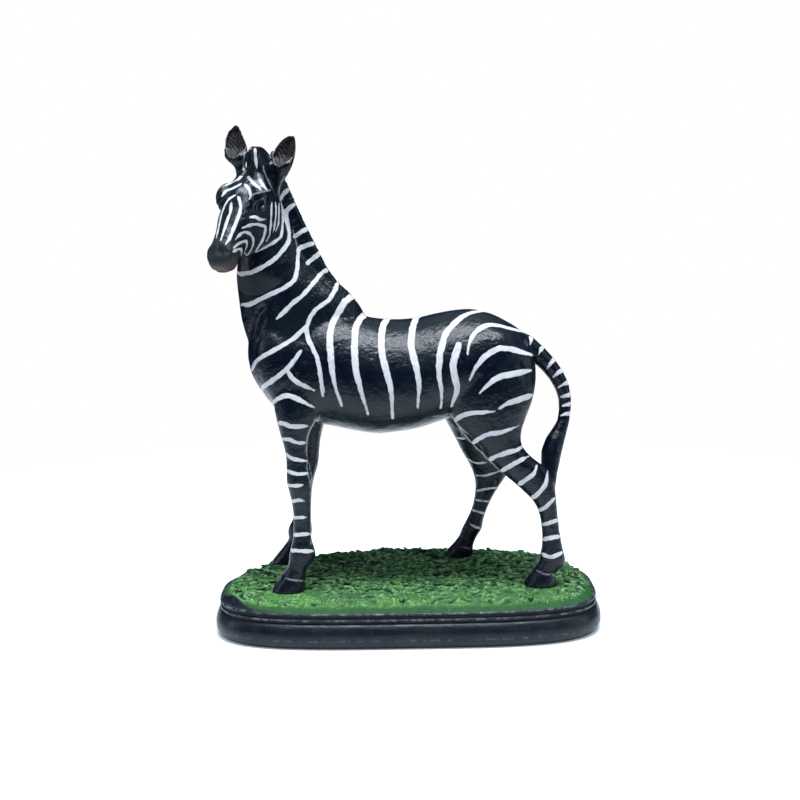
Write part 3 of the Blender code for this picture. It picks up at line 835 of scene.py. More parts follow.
FAR_HIND_STRIPES = [
    [(455.7, 438), (465.7, 438.7)],
    [(467, 458.1), (475.1, 462.8), (487.1, 462.8)],
    [(474.4, 475.5), (485.8, 475.5), (500.5, 470.8)],
    [(475.8, 490.9), (487.1, 488.9), (497.9, 487.5)],
    [(475, 500), (483, 501), (491, 501)],
    [(472, 510), (479, 512), (486, 514)],
    [(470, 524), (476, 527), (482, 529)],
]

# Thin pale lines along edges of the form, painted highlights where they catch the light, and the line
# round each hoof
PALE_LINES = [
    [(444.3, 418.6), (453, 425.3), (465.7, 436), (473.7, 445.3), (485.8, 458.1), (501.2, 472.8)],
    [(320, 415), (313, 440), (307, 465), (310, 482), (312, 500), (311, 545)],
    [(248.9, 197.7), (254, 194), (261.7, 192), (270.3, 189.9)],
    [(284.4, 176.7), (280.5, 184), (279, 192), (281, 201)],
    [(243.6, 171), (243.8, 160), (245.8, 152.5), (250, 150)],
    [(263.5, 166), (264.5, 172), (268.5, 181), (272, 188.5)],
    [(292.8, 229), (295.6, 240.5), (300.3, 256.8)],
    [(433, 417), (441, 416), (448, 419), (453.5, 424)],
    [(285, 578), (291.5, 580), (305, 581)],
    [(536, 570), (545, 574), (555, 575)],
    [(461, 547), (469.5, 548.5)],
]

# Grooves in the skin: a line of places in the photograph, width, depth
FOLDS = [
    ([(281, 574), (288, 577), (297, 578.5), (306, 578)], 0.5, 0.45),
    ([(533, 567), (541, 571), (550, 573), (558, 572)], 0.5, 0.45),
    ([(450, 416), (458, 428), (470, 438), (480, 449)], 1.4, 0.5),
    ([(292.6, 228.8), (295.4, 240.3), (300, 256.5), (309.8, 267.3), (331.5, 287.9), (346.7, 297.7)],
     0.8, 0.55),
    ([(262.3, 307.7), (254, 320.4), (249.6, 333.2)], 1.5, 0.7),
    ([(264, 317), (260, 328), (258.5, 338)], 1.3, 0.5),
    ([(291.5, 354), (293, 364), (293.5, 372), (296, 379)], 0.8, 0.7),
    ([(470, 340), (480, 333.5), (492, 333)], 2.2, 0.4),
    ([(520, 366), (526, 378), (528, 392)], 1.6, 0.5),
    ([(536, 466), (541, 474), (541, 484)], 0.9, 0.5),
    ([(545, 492), (549.5, 505), (551, 520), (552, 535)], 0.9, 0.4),
]

# Patches brushed thinly with pale paint, partly painted highlights on the forehead, brows and the face's
# edge: a line of places in the photograph and a width
SMEARS_AND_HIGHLIGHTS = [
    ([(256, 174), (258.5, 179.5), (261.5, 185)], 4.2),
    ([(237, 192.5), (242, 189), (247, 192.5)], 2.6),
    ([(217.5, 188), (222, 185.5), (227, 186)], 2.6),
    ([(221, 206), (219, 220), (217.5, 234)], 1.2),
]

# Width and the share of its length over which each kind of stroke narrows at its two ends
STROKES = {
    "bridge": (BRIDGE_STRIPES, 1.45, 0.06, 0.25),
    "cheek": (CHEEK_STRIPES, 1.25, 0.15, 0.3),
    "neck": (NECK_STRIPES, 1.95, 0.01, 0.1),
    "chest": (CHEST_STRIPES, 2.1, 0.1, 0.3),
    "torso": (TORSO_STRIPES, 3, 0.01, 0.45),
    "haunch": (HAUNCH_STRIPES, 2.6, 0.4, 0.2),
    "thigh": (THIGH_STRIPES, 2.1, 0.12, 0.4),
    "tail": (TAIL_STRIPES, 2.2, 0.01, 0.9),
    "near foreleg": (NEAR_FORELEG_STRIPES, 1.7, 0.05, 0.3),
    "near hind": (NEAR_HIND_STRIPES, 1.9, 0.2, 0.2),
    "far hind": (FAR_HIND_STRIPES, 1.15, 0.2, 0.2),
}
ONE_SIDE_ONLY = ("bridge", "far hind")


def figure_form():
    """All the forms of the animal in one mesh, overlapping where they grow together."""
    bm = bmesh.new()
    add_torso(bm)
    add_neck(bm)
    add_mane(bm)
    add_tail(bm)
    add_head(bm)
    add_forelock(bm)
    for rows in (FAR_EAR, NEAR_EAR):
        add_ear(bm, rows)
    for rows in leg_rows():
        add_level_leg(bm, list(rows) + [(rows[-1][0] - HOOF_SINK, *rows[-1][1:])])
    bmesh.ops.recalc_face_normals(bm, faces=bm.faces)
    bmesh.ops.translate(bm, vec=UPWARDS * SOLE_HEIGHT, verts=bm.verts)
    return bm


def new_object(name, data):
    obj = bpy.data.objects.new(name, data)
    bpy.context.scene.collection.objects.link(obj)
    return obj


def evaluated_mesh(obj):
    graph = bpy.context.evaluated_depsgraph_get()
    return bpy.data.meshes.new_from_object(obj.evaluated_get(graph))


def melted_skin(bm):
    """One closed skin over the overlapping forms, softened where they grow together."""
    rough = bpy.data.meshes.new("rough")
    bm.to_mesh(rough)
    bm.free()
    obj = new_object("rough", rough)
    melt = obj.modifiers.new("melt", "REMESH")
    melt.mode = "VOXEL"
    melt.voxel_size = VOXEL
    soften = obj.modifiers.new("soften", "SMOOTH")
    soften.factor = 0.5
    soften.iterations = SMOOTH_PASSES
    skin = evaluated_mesh(obj)
    bpy.data.objects.remove(obj)
    bpy.data.meshes.remove(rough)
    return skin


def bell(value, middle, width):
    """1 where value is at middle, falling away over width."""
    return np.exp(-(((value - middle) / width) ** 2))


def head_foot():
    """The poll of the standing animal: where the head's own frame begins."""
    return Vector(HEAD_PLACE) + UPWARDS * SOLE_HEIGHT


def seen_on_head(mesh, spot):
    """A place in the photograph as distance along the face and height off the brow line."""
    hit = skin_tree(mesh).ray_cast(VIEW_PLACE, sight_line(*spot))[0]
    along, up, _ = head_places(np.array([hit]))[0]
    return along, up


def refine_head(mesh, eye, nostril):
    """Splits faces in four: the head and ears once, and once more round the eyes and nostrils."""
    bm = bmesh.new()
    bm.from_mesh(mesh)
    turn = head_frame().transposed()
    foot = head_foot()

    def fine(vert):
        along, up, left = turn @ (vert.co - foot)
        at_front = FACE_ALONG[0] < along < FACE_ALONG[1] and FACE_UP[0] - 1 < up
        on_face = at_front and abs(left) < FACE_SIDE
        return on_face or vert.co.z > FINE_ABOVE + SOLE_HEIGHT

    def finest(vert):
        along, up, left = turn @ (vert.co - foot)
        at_eye = math.hypot(along - eye[0], up - eye[1]) < EYE_ZONE and abs(left) > 4
        at_nostril = math.hypot(along - nostril[0], up - nostril[1]) < EYE_ZONE and abs(left) > 1
        return abs(left) < FACE_SIDE and (at_eye or at_nostril)

    for wanted in (fine, finest):
        chosen = {v for v in bm.verts if wanted(v)}
        edges = [e for e in bm.edges if e.verts[0] in chosen and e.verts[1] in chosen]
        bmesh.ops.subdivide_edges(bm, edges=edges, cuts=1, use_grid_fill=True)
        fresh = [v for v in bm.verts if wanted(v)]
        for _ in range(HEAD_SMOOTH_PASSES):
            bmesh.ops.smooth_vert(
                bm, verts=fresh, factor=0.5, use_axis_x=True, use_axis_y=True, use_axis_z=True
            )
    bm.to_mesh(mesh)
    bm.free()


def read_vectors(rows, name):
    values = np.empty(len(rows) * 3, np.float32)
    rows.foreach_get(name, values)
    return values.reshape(-1, 3).astype(float)


def vertex_places(mesh):
    return read_vectors(mesh.vertices, "co")


def vertex_facing(mesh):
    return read_vectors(mesh.vertex_normals, "vector")


def walked_lengths(line):
    """Lengths of a line's steps, and how far each of its points lies from the start."""
    steps = np.linalg.norm(np.diff(line, axis=0), axis=1)
    return steps, np.concatenate([[0], np.cumsum(steps)])


def skin_tree(mesh):
    return BVHTree.FromPolygons([v.co for v in mesh.vertices], [p.vertices[:] for p in mesh.polygons])


def ramp(values, low, high):
    """0 below low, 1 above high and smooth between; it falls where high is the lesser."""
    t = np.clip((values - low) / (high - low), 0, 1)
    return t * t * (3 - 2 * t)


def view_axes():
    pitch = math.radians(VIEW_PITCH)
    ahead = Vector((0, math.cos(pitch), -math.sin(pitch)))
    above = Vector((0, math.sin(pitch), math.cos(pitch)))
    return REARWARDS, above, ahead


def sight_line(x, y):
    """The way the photographer looked towards a place in the photograph."""
    right, above, ahead = view_axes()
    roll = math.radians(VIEW_ROLL)
    level, rise = x - PHOTO_MIDDLE, PHOTO_MIDDLE - y
    across = math.cos(roll) * level + math.sin(roll) * rise
    up = math.cos(roll) * rise - math.sin(roll) * level
    return (ahead + right * (across / VIEW_FOCUS) + above * (up / VIEW_FOCUS)).normalized()


def smooth_line(points, step):
    """Points about step apart on a curve through the given ones."""
    points = [np.array(p, float) for p in points]
    ends = [2 * points[0] - points[1], *points, 2 * points[-1] - points[-2]]
    out = []
    for a, b, c, d in zip(ends, ends[1:], ends[2:], ends[3:]):
        pieces = max(1, round(float(np.linalg.norm(c - b)) / step))
        for k in range(pieces):
            t = k / pieces
            cubic = (3 * b - a - 3 * c + d) * t**3
            out.append(0.5 * (2 * b + (c - a) * t + (2 * a - 5 * b + 4 * c - d) * t * t + cubic))
    out.append(points[-1])
    return out


def on_skin(tree, line):
    """A drawn line carried onto the casting: its places, and the way the skin faces there."""
    rays = [sight_line(*point) for point in smooth_line(line, DRAWN_STEP)]
    hits = [tree.ray_cast(VIEW_PLACE, ray) for ray in rays]
    known = [(hit[3], i) for i, hit in enumerate(hits) if hit[0] is not None]
    seed = sorted(known)[len(known) // 2][1]
    run = {}
    for order in (range(seed, len(rays)), range(seed, -1, -1)):
        reach = hits[seed][3]
        for i in order:
            place, facing, _, distance = hits[i]
            if place is None or abs(distance - reach) > SLIP:
                place, facing, _, _ = tree.find_nearest(VIEW_PLACE + rays[i] * reach)
            else:
                reach = distance
            run[i] = (place, facing)
    return [run[i] for i in range(len(rays))]


def at_height(rows, z, column):
    heights = [row[0] for row in rows][::-1]
    return float(np.interp(z, heights, [row[column] for row in rows][::-1]))


def other_side(tree, place):
    """The matching place on the animal's right side, whose legs stand elsewhere."""
    z = place.z - SOLE_HEIGHT
    x = place.x
    if x < 0 and z < FORELEG[0][0]:
        x += at_height(FAR_FORELEG_LINE, z, 1) - at_height(NEAR_FORELEG_LINE, z, 1)
    elif x > 0 and z < NEAR_HIND_LEG[0][0]:
        front, rear = at_height(NEAR_HIND_LEG, z, 1), at_height(NEAR_HIND_LEG, z, 2)
        if x > front:
            share = (x - front) / (rear - front)
            far_front, far_rear = at_height(FAR_HIND_LEG, z, 1), at_height(FAR_HIND_LEG, z, 2)
            x = far_front + share * (far_rear - far_front)
    return tree.find_nearest(Vector((x, -place.y, place.z)))[:2]


def other_cheek(tree, place):
    turn = head_frame()
    foot = head_foot()
    along, up, left = turn.transposed() @ (place - foot)
    return tree.find_nearest(foot + turn @ Vector((along, up, -left)))[:2]


def all_runs(tree):
    """Every painted stroke as (run, width, narrowing at its start and end)."""
    strokes = []
    for kind, (lines, width, start, end) in STROKES.items():
        for line in lines:
            run = on_skin(tree, line)
            strokes.append((run, width, start, end))
            if kind == "cheek":
                strokes.append(([other_cheek(tree, place) for place, _ in run], width, start, end))
            elif kind not in ONE_SIDE_ONLY:
                matching = [other_side(tree, place) for place, _ in run]
                matching = [hit for hit in matching if hit[1].y > AWAY_SIDE]
                if len(matching) > 1:
                    strokes.append((matching, width, start, end))
    return strokes


def stroke_field(places, facing, strokes):
    """For each point of the skin: distance to the nearest stroke's edge, and its place in it."""
    edge = np.full(len(places), float(FIELD_REACH))
    along, across = np.zeros((2, len(places)))
    for number, (run, width, start, end) in enumerate(strokes):
        line = np.array([place for place, _ in run])
        face = np.array([normal for _, normal in run])
        steps, walked = walked_lengths(line)
        share = walked / max(walked[-1], 1e-6)
        narrow = np.minimum(ramp(share, -0.02, start), ramp(share, 1.02, 1 - end))
        half = width / 2 * (THIN_END + (1 - THIN_END) * narrow)
        near = ((places > line.min(0) - FIELD_REACH) & (places < line.max(0) + FIELD_REACH)).all(1)
        index = np.nonzero(near)[0]
        if not len(index):
            continue
        spot, look = places[index], facing[index]
        for i in range(len(steps)):
            if steps[i] < 1e-6:
                continue
            run_way = (line[i + 1] - line[i]) / steps[i]
            t = np.clip((spot - line[i]) @ run_way, 0, steps[i])
            off = spot - line[i] - t[:, None] * run_way
            distance = np.linalg.norm(off, axis=1)
            half_here = half[i] + (half[i + 1] - half[i]) * t / steps[i]
            value = distance - half_here
            value[look @ face[i] < FACING_LIMIT] = FIELD_REACH
            better = value < edge[index]
            side = np.sign(off @ np.cross(run_way, face[i]))
            chosen = index[better]
            edge[chosen] = value[better]
            along[chosen] = walked[i] + t[better] + number * STROKE_SHIFT
            across[chosen] = (side * distance)[better]
    return edge, along, across


def put_attributes(mesh, marks):
    """Numbers kept with each vertex, which the paints and the leaves of grass read."""
    for name, values in marks.items():
        layer = mesh.attributes.new(name, "FLOAT", "POINT")
        layer.data.foreach_set("value", np.asarray(values, np.float32))


def head_places(places):
    """Places in the head's own frame: along the face, up off the brow, to the animal's left."""
    return (places - np.array(head_foot())) @ np.array(head_frame())


def eye_places(along, up, left, eye):
    """How far points lie ahead of and above an eye, in eye sizes too, and how far to the side."""
    ahead, above = along - eye[0], up - eye[1]
    reach = np.hypot(ahead / EYE_LENGTH, (above + EYE_SLANT * ahead) / EYE_TALL)
    return ahead, above, reach, ramp(np.abs(left), 3, 5)


def eye_fold(ahead, above, shape):
    """The curved line under an eye, as height or strength."""
    below, width, reach, rise = shape
    return rise * bell(above + EYE_FOLD_SLANT * ahead, -below, width) * bell(ahead, 0, reach)


def carve_eyes(along, up, left, eye):
    """Height added to the skin at both eyes: ball, groove, lids, and the socket round them."""
    ahead, above, reach, beside = eye_places(along, up, left, eye)
    rise = EYE_BALL * np.sqrt(np.clip(1 - reach**2, 0, 1))
    for size, width, height in EYE_RINGS:
        rise += height * bell(reach, size, width)
    before, over, radius, height = SOCKET
    rise += height * bell(np.hypot(ahead - before, above - over), 0, radius)
    return beside * (rise + eye_fold(ahead, above, EYE_FOLD))


def eye_paint(along, up, left, eye):
    """Grey lines round both eyes and under them, and the highlight painted on each ball."""
    ahead, above, reach, beside = eye_places(along, up, left, eye)
    lids = 0.8 * bell(reach, 1.35, 0.14) + 0.5 * bell(reach, 2.1, 0.13) * (above > 0)
    before, over, radius = PAINTED_EYE_HIGHLIGHT
    eye_highlight = bell(np.hypot(ahead - before, above - over), 0, radius)
    lines = np.clip(lids + eye_fold(ahead, above, EYE_FOLD_PAINT), 0, 1)
    return beside * lines, beside * eye_highlight


def beside_nostrils(left):
    return ramp(np.abs(left), 0.4, 1.4)


def carve_muzzle(along, up, left, nostril):
    """Height added at the nostrils and the line of the mouth."""
    ahead, above = along - nostril[0], up - nostril[1]
    reach = np.hypot(ahead / NOSTRIL_LENGTH, (above + NOSTRIL_SLANT * ahead) / NOSTRIL_TALL)
    holes = NOSTRIL_RIM * bell(reach, 1.5, 0.5) - NOSTRIL_DEPTH * bell(reach, 0, 0.85)
    mouth = bell(up + 0.12 * ahead, MOUTH_UP, MOUTH_LINE) * ramp(along, 37, 42)
    return beside_nostrils(left) * holes - MOUTH_DEPTH * mouth


def ear_hollow(places, facing, rows):
    """Share of each point that lies in the ear's leaf-shaped hollow, its rim, and its place there."""
    z = places[:, 2] - SOLE_HEIGHT
    heights = [row[0] for row in rows]
    middle_x, middle_y, half = (np.interp(z, heights, [row[k] for row in rows]) for k in (1, 2, 3))
    face = Vector(EAR_FACING).normalized()
    off = np.stack([places[:, 0] - middle_x, places[:, 1] - middle_y, np.zeros(len(z))], 1)
    across = off @ np.array(face.cross(UPWARDS)) - EAR_SHIFT * half
    ahead = off @ np.array(face)
    opening = max(rows, key=lambda row: row[3])[0] - EAR_OPENING
    foot_taper = np.clip((z - opening) / EAR_OPENING, 0, 1) ** 0.6
    tip_taper = np.clip((heights[-1] - 0.6 - z) / 2, 0, 1) ** 0.5
    leaf = EAR_LEAF * half * foot_taper * tip_taper
    front = ramp(facing @ np.array(face), 0.05, 0.3) * ramp(ahead / half, -0.6, -0.4)
    front *= (np.abs(off).max(1) < 2 * EAR_OPENING) * (z > opening - 1) * (z < heights[-1] + 1)
    inward = leaf - np.abs(across)
    inside = front * ramp(inward, 0, 0.5) * (leaf > 0.1)
    rim = front * bell(inward, -0.25, 0.28) * (leaf > 0.1)
    bowl = 1 - np.clip(np.abs(across) / np.maximum(leaf, 0.1), 0, 1) ** 2
    return inside, rim, bowl, across, z


def ear_hairs(across, z):
    """Combed hair in a hollow, as height: a crease up the middle and slanting locks."""
    sway = np.array([noise.noise(Vector((a, h, 3)) * 0.6) for a, h in zip(across, z)])
    locks = np.sin(2 * math.pi * (z - 1.15 * np.abs(across) + 0.9 * sway) / EAR_LOCK_STEP)
    return EAR_LOCK_RISE * locks - 0.35 * bell(across, 0, 0.5)


def mane_places(places):
    """Distance along the mane's outer edge, how far below it, and how far to the side."""
    line = np.array([(x, y, z + SOLE_HEIGHT) for x, z, y, _ in MANE])
    steps, walked = walked_lengths(line)
    best = np.full(len(places), 1e3)
    along, below = np.zeros((2, len(places)))
    for i in range(len(steps)):
        way = (line[i + 1] - line[i]) / steps[i]
        t = np.clip((places - line[i]) @ way, 0, steps[i])
        off = places - line[i] - t[:, None] * way
        distance = np.linalg.norm(off, axis=1)
        better = distance < best
        best[better] = distance[better]
        along[better] = walked[i] + t[better]
        out = np.cross(way, SIDEWAYS)
        below[better] = -(off @ out)[better]
    return along, below, best


def mane_relief(places):
    """Upright hair on the mane, as height, fading out below its root."""
    along, below, away = mane_places(places)
    rise = np.zeros(len(places))
    for i in np.nonzero(away < MANE_REACH)[0]:
        rise[i] = MANE_RELIEF * noise.noise(Vector((along[i] * 0.95, below[i] * 0.12, 5)))
    return rise * ramp(away, MANE_REACH, MANE_REACH - 2)


def forelock_relief(places):
    """Locks standing up between the ears."""
    left = np.array(head_frame().col[2])
    spot = places - np.array((*FORELOCK_PLACE, SOLE_HEIGHT))
    side = spot @ left
    ahead = spot @ np.cross(UPWARDS, left)
    z = spot[:, 2]
    heights, fore, back, halves = zip(*FORELOCK)
    inside = (np.abs(side) < np.interp(z, heights, halves) + 1.5) & (z > heights[0] - 1)
    inside &= (ahead > back[1] - 2) & (ahead < fore[0] + 2)
    locks = 0.2 * np.sin(side * 3.1) - 0.5 * bell(np.abs(side), 1.1, 0.45)
    locks += 0.75 * np.tanh((side - 0.2) / 0.8) - 0.15
    return inside * locks * ramp(z, heights[0] - 1, heights[1])


def carve_lines(places, facing, tree):
    """Folds of skin and muscle, grooves along lines read off the photograph, on both sides."""
    rise = np.zeros(len(places))
    for line, width, depth in FOLDS:
        run = on_skin(tree, line)
        for side in (run, [other_side(tree, place) for place, _ in run]):
            edge, _, _ = stroke_field(places, facing, [(side, 0.01, 0.3, 0.3)])
            rise -= depth * bell(edge, 0, width)
    return rise


def carve_skin(mesh, eye, nostril):
    """Moves the skin by all the finer forms, and marks the zones that are painted apart."""
    places, facing = vertex_places(mesh), vertex_facing(mesh)
    along, up, left = head_places(places).T
    on_head = (along > FACE_ALONG[0]) & (along < FACE_ALONG[1]) & (np.abs(left) < FACE_SIDE)
    on_head &= (up > FACE_UP[0]) & (up < FACE_UP[1])
    rise = on_head * (carve_eyes(along, up, left, eye) + carve_muzzle(along, up, left, nostril))
    rise += mane_relief(places) + forelock_relief(places)
    rise += carve_lines(places, facing, skin_tree(mesh))
    hollow, hairs, rims = np.zeros((3, len(places)))
    for rows in (FAR_EAR, NEAR_EAR):
        inside, rim, bowl, across, z = ear_hollow(places, facing, rows)
        chosen = inside > 0
        lift = np.zeros(len(places))
        lift[chosen] = ear_hairs(across[chosen], z[chosen])
        rise += inside * (lift - 0.3 - EAR_DEPTH * bowl) + EAR_RIM_RISE * rim
        hollow = np.maximum(hollow, inside)
        hairs += inside * lift
        rims += rim
    moved = places + facing * rise[:, None]
    mesh.vertices.foreach_set("co", moved.astype(np.float32).ravel())
    mesh.update()
    lip = on_head * ramp(up - 0.25 * (along - 46), -5.8, -8.8) * ramp(along, 42, 48)
    lip *= (np.abs(left) < 9) & (up > -17)
    nostrils = bell(np.hypot((along - nostril[0]) / 2, (up - nostril[1]) / 1.2), 0, 1.1)
    ring, eye_highlight = eye_paint(along, up, left, eye)
    marks = {
        "eye_ring": on_head * ring,
        "painted_eye_highlight": on_head * eye_highlight,
        "ear": hollow,
        "hairs": hairs,
        "lip": lip,
        "muzzle": on_head * ramp(along, 38, 42),
        "nostrils": on_head * nostrils * beside_nostrils(left),
        "ear_rim": rims,
    }
    put_attributes(mesh, marks)


def build_zebra():
    mesh = melted_skin(figure_form())
    eye, nostril = seen_on_head(mesh, EYE_SEEN), seen_on_head(mesh, NOSTRIL_SEEN)
    refine_head(mesh, eye, nostril)
    carve_skin(mesh, eye, nostril)
    tree = skin_tree(mesh)
    places, facing = vertex_places(mesh), vertex_facing(mesh)
    edge, along, across = stroke_field(places, facing, all_runs(tree))
    # Pale lines: painted highlights along edges of the form, and the line round each hoof
    lines = [(on_skin(tree, line), PALE_WIDTH, 0.1, 0.1) for line in PALE_LINES]
    # Pale paint brushed thinly, partly painted highlights on the forehead, brows and the face's edge
    smears_and_highlights = [(on_skin(tree, line), width, 0.3, 0.3) for line, width in SMEARS_AND_HIGHLIGHTS]
    marks = {
        "stripe": edge,
        "stroke_along": along,
        "stroke_across": across,
        "pale": stroke_field(places, facing, lines)[0],
        "smear_and_highlight": ramp(stroke_field(places, facing, smears_and_highlights)[0], 0.9, -1),
    }
    put_attributes(mesh, marks)
    mesh.transform(Matrix.Scale(MM, 4))
    mesh.shade_smooth()
    mesh.name = "painted_zebra"
    zebra = new_object("painted_zebra", mesh)
    mesh.materials.clear()
    mesh.materials.append(zebra_paint())
    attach(zebra, "root")
    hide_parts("zebra")


def outline_power(x, y):
    """How squarish the outline is: most in front, least behind at the head end."""
    return np.where(y < 0, FRONT_POWER, np.where(x < 0, HEAD_END_POWER, TAIL_END_POWER))


def outline_point(u, v, half_length, half_depth):
    """Points of the square -1..1 carried onto the plinth's outline."""
    reach = np.maximum(np.maximum(np.abs(u), np.abs(v)), 1e-9)
    power = outline_power(u, v)
    du, dv = np.abs(u) / reach, np.abs(v) / reach
    scale = (du**power + dv**power) ** (-1 / power)
    return half_length * u * scale, half_depth * v * scale


def edge_distance(x, y, half_length, half_depth):
    """About how far each point lies inside the outline."""
    power = outline_power(x, y)
    du, dv = np.abs(x / half_length), np.abs(y / half_depth)
    total = np.maximum(du**power + dv**power, 1e-9)
    reach = total ** (1 / power)
    lean = reach / total
    slope = np.hypot(
        lean * du ** (power - 1) / half_length,
        lean * dv ** (power - 1) / half_depth,
    )
    return (1 - reach) / np.maximum(slope, 1e-9)


def soles():
    """Middle, half length, half width and height of each sole."""
    spots = []
    for rows in leg_rows():
        z, front, rear, y, half = rows[-1]
        spots.append(((front + rear) / 2, y, (rear - front) / 2, half, z))
    return spots


def sole_distances(x, y):
    """For each sole: about how far every point lies from its edge, and the sole's height."""
    for sole_x, sole_y, half_x, half_y, sole in soles():
        reach = np.hypot((x - sole_x) / half_x, (y - sole_y) / half_y) - 1
        yield reach * min(half_x, half_y), sole


def clump_relief(x, y):
    """Curled clumps of grass lying over each other like shingles, as height."""
    chance = np.random.default_rng(CLUMP_SEED)
    relief = np.zeros(x.shape)
    for _ in range(CLUMP_COUNT):
        cx = chance.uniform(-BASE_HALF_LENGTH, BASE_HALF_LENGTH)
        cy = chance.uniform(-BASE_HALF_DEPTH, BASE_HALF_DEPTH)
        reach = CLUMP_REACH * chance.uniform(*CLUMP_REACH_SHARES)
        turn = -math.pi / 2 + chance.normal(0, CLUMP_LEAN)
        rise = CLUMP_RISE * chance.uniform(*CLUMP_RISE_SHARES) * (0.75 + 0.35 * cy / BASE_HALF_DEPTH)
        bend = chance.uniform(-CLUMP_BEND, CLUMP_BEND)
        near = (np.abs(x - cx) < 1.5 * reach) & (np.abs(y - cy) < 1.5 * reach)
        dx, dy = x[near] - cx, y[near] - cy
        ahead = (dx * math.cos(turn) + dy * math.sin(turn)) / reach
        beside = (dy * math.cos(turn) - dx * math.sin(turn)) / reach
        lip = 0.7 - 0.9 * (beside - 0.3 * bend) ** 2 + bend * beside
        climb = np.clip((ahead + 1.3) / (lip + 1.3), 0, 1) ** 1.6
        drop = 1 - ramp(ahead, lip, lip + 0.9 / reach)
        width = np.clip(1 - (beside / 0.95) ** 2, 0, 1) ** 0.5
        relief[near] = np.maximum(relief[near], rise * climb * drop * width)
    return relief + folded_ground(x, y)


def folded_ground(x, y):
    """Crumpled folds running across the grass, deeper towards the back, as height."""
    noise.seed_set(CLUMP_SEED)
    folds = np.zeros(x.size)
    for i, (px, py) in enumerate(zip(x.ravel(), y.ravel())):
        spot = Vector((px / FOLD_STEP * 0.75, py / FOLD_STEP, 4))
        spot += 0.9 * noise.noise_vector(spot * 0.8)
        folds[i] = 1 - 2.4 * abs(noise.noise(spot)) + 0.35 * noise.noise(spot * 2.3)
    deep = FOLD_RISE * (0.35 + 0.65 * ramp(y, FRONT_LAWN, FRONT_LAWN + 20))
    return deep * (folds.reshape(x.shape) - 0.5)


def turf_surface(x, y, half_length, half_depth):
    inside = edge_distance(x, y, half_length, half_depth)
    crown = 1 - (1 - np.clip(inside / TURF_SHOULDER, 0, 1)) ** CROWN_POWER
    climb = BACK_RISE * np.clip(y / half_depth, 0, 1) ** BACK_RISE_POWER
    relief = clump_relief(x, y)
    height = RIM_HEIGHT + (TURF_RISE + climb - CLUMP_RISE * 0.45) * crown
    height += relief * np.clip(inside / 2.5, 0, 1)
    for away, sole in sole_distances(x, y):
        level = SOLE_HEIGHT - SEAT_GAP + sole
        blend = ramp(away, 0, SEAT_EASE)
        height = level * (1 - blend) + height * blend
    return height, relief, inside


def moulding():
    """The plinth's side from the floor up: inset from the widest outline, height."""
    body = RIM_HEIGHT - FOOT_HEIGHT
    groove = RIM_INSET + GROOVE_DEPTH
    corners = [
        (1.05 * FOOT_UNDERCUT, 0),
        (0.75 * FOOT_UNDERCUT, 0.1 * FOOT_HEIGHT),
        (0.45 * FOOT_UNDERCUT, 0.3 * FOOT_HEIGHT),
        (0.18 * FOOT_UNDERCUT, 0.6 * FOOT_HEIGHT),
        (0.06, 0.94 * FOOT_HEIGHT),
        (0.22, 1.06 * FOOT_HEIGHT),
        (0.08, 1.2 * FOOT_HEIGHT),
        (0.15 * RIM_INSET, FOOT_HEIGHT + 0.24 * body),
        (0.4 * RIM_INSET, FOOT_HEIGHT + 0.36 * body),
        (0.68 * RIM_INSET, FOOT_HEIGHT + 0.46 * body),
        (0.98 * RIM_INSET, FOOT_HEIGHT + 0.53 * body),
        (groove, FOOT_HEIGHT + 0.59 * body),
        (groove, FOOT_HEIGHT + 0.63 * body),
        (RIM_INSET, FOOT_HEIGHT + 0.68 * body),
        (RIM_INSET, FOOT_HEIGHT + 0.75 * body),
        (groove, FOOT_HEIGHT + 0.8 * body),
        (groove - 0.1, FOOT_HEIGHT + 0.87 * body),
        (RIM_INSET, FOOT_HEIGHT + 0.91 * body),
        (RIM_INSET, FOOT_HEIGHT + 0.97 * body),
        (RIM_INSET + RIM_EASE, RIM_HEIGHT),
    ]
    return smooth_line(corners, MOULDING_STEP)


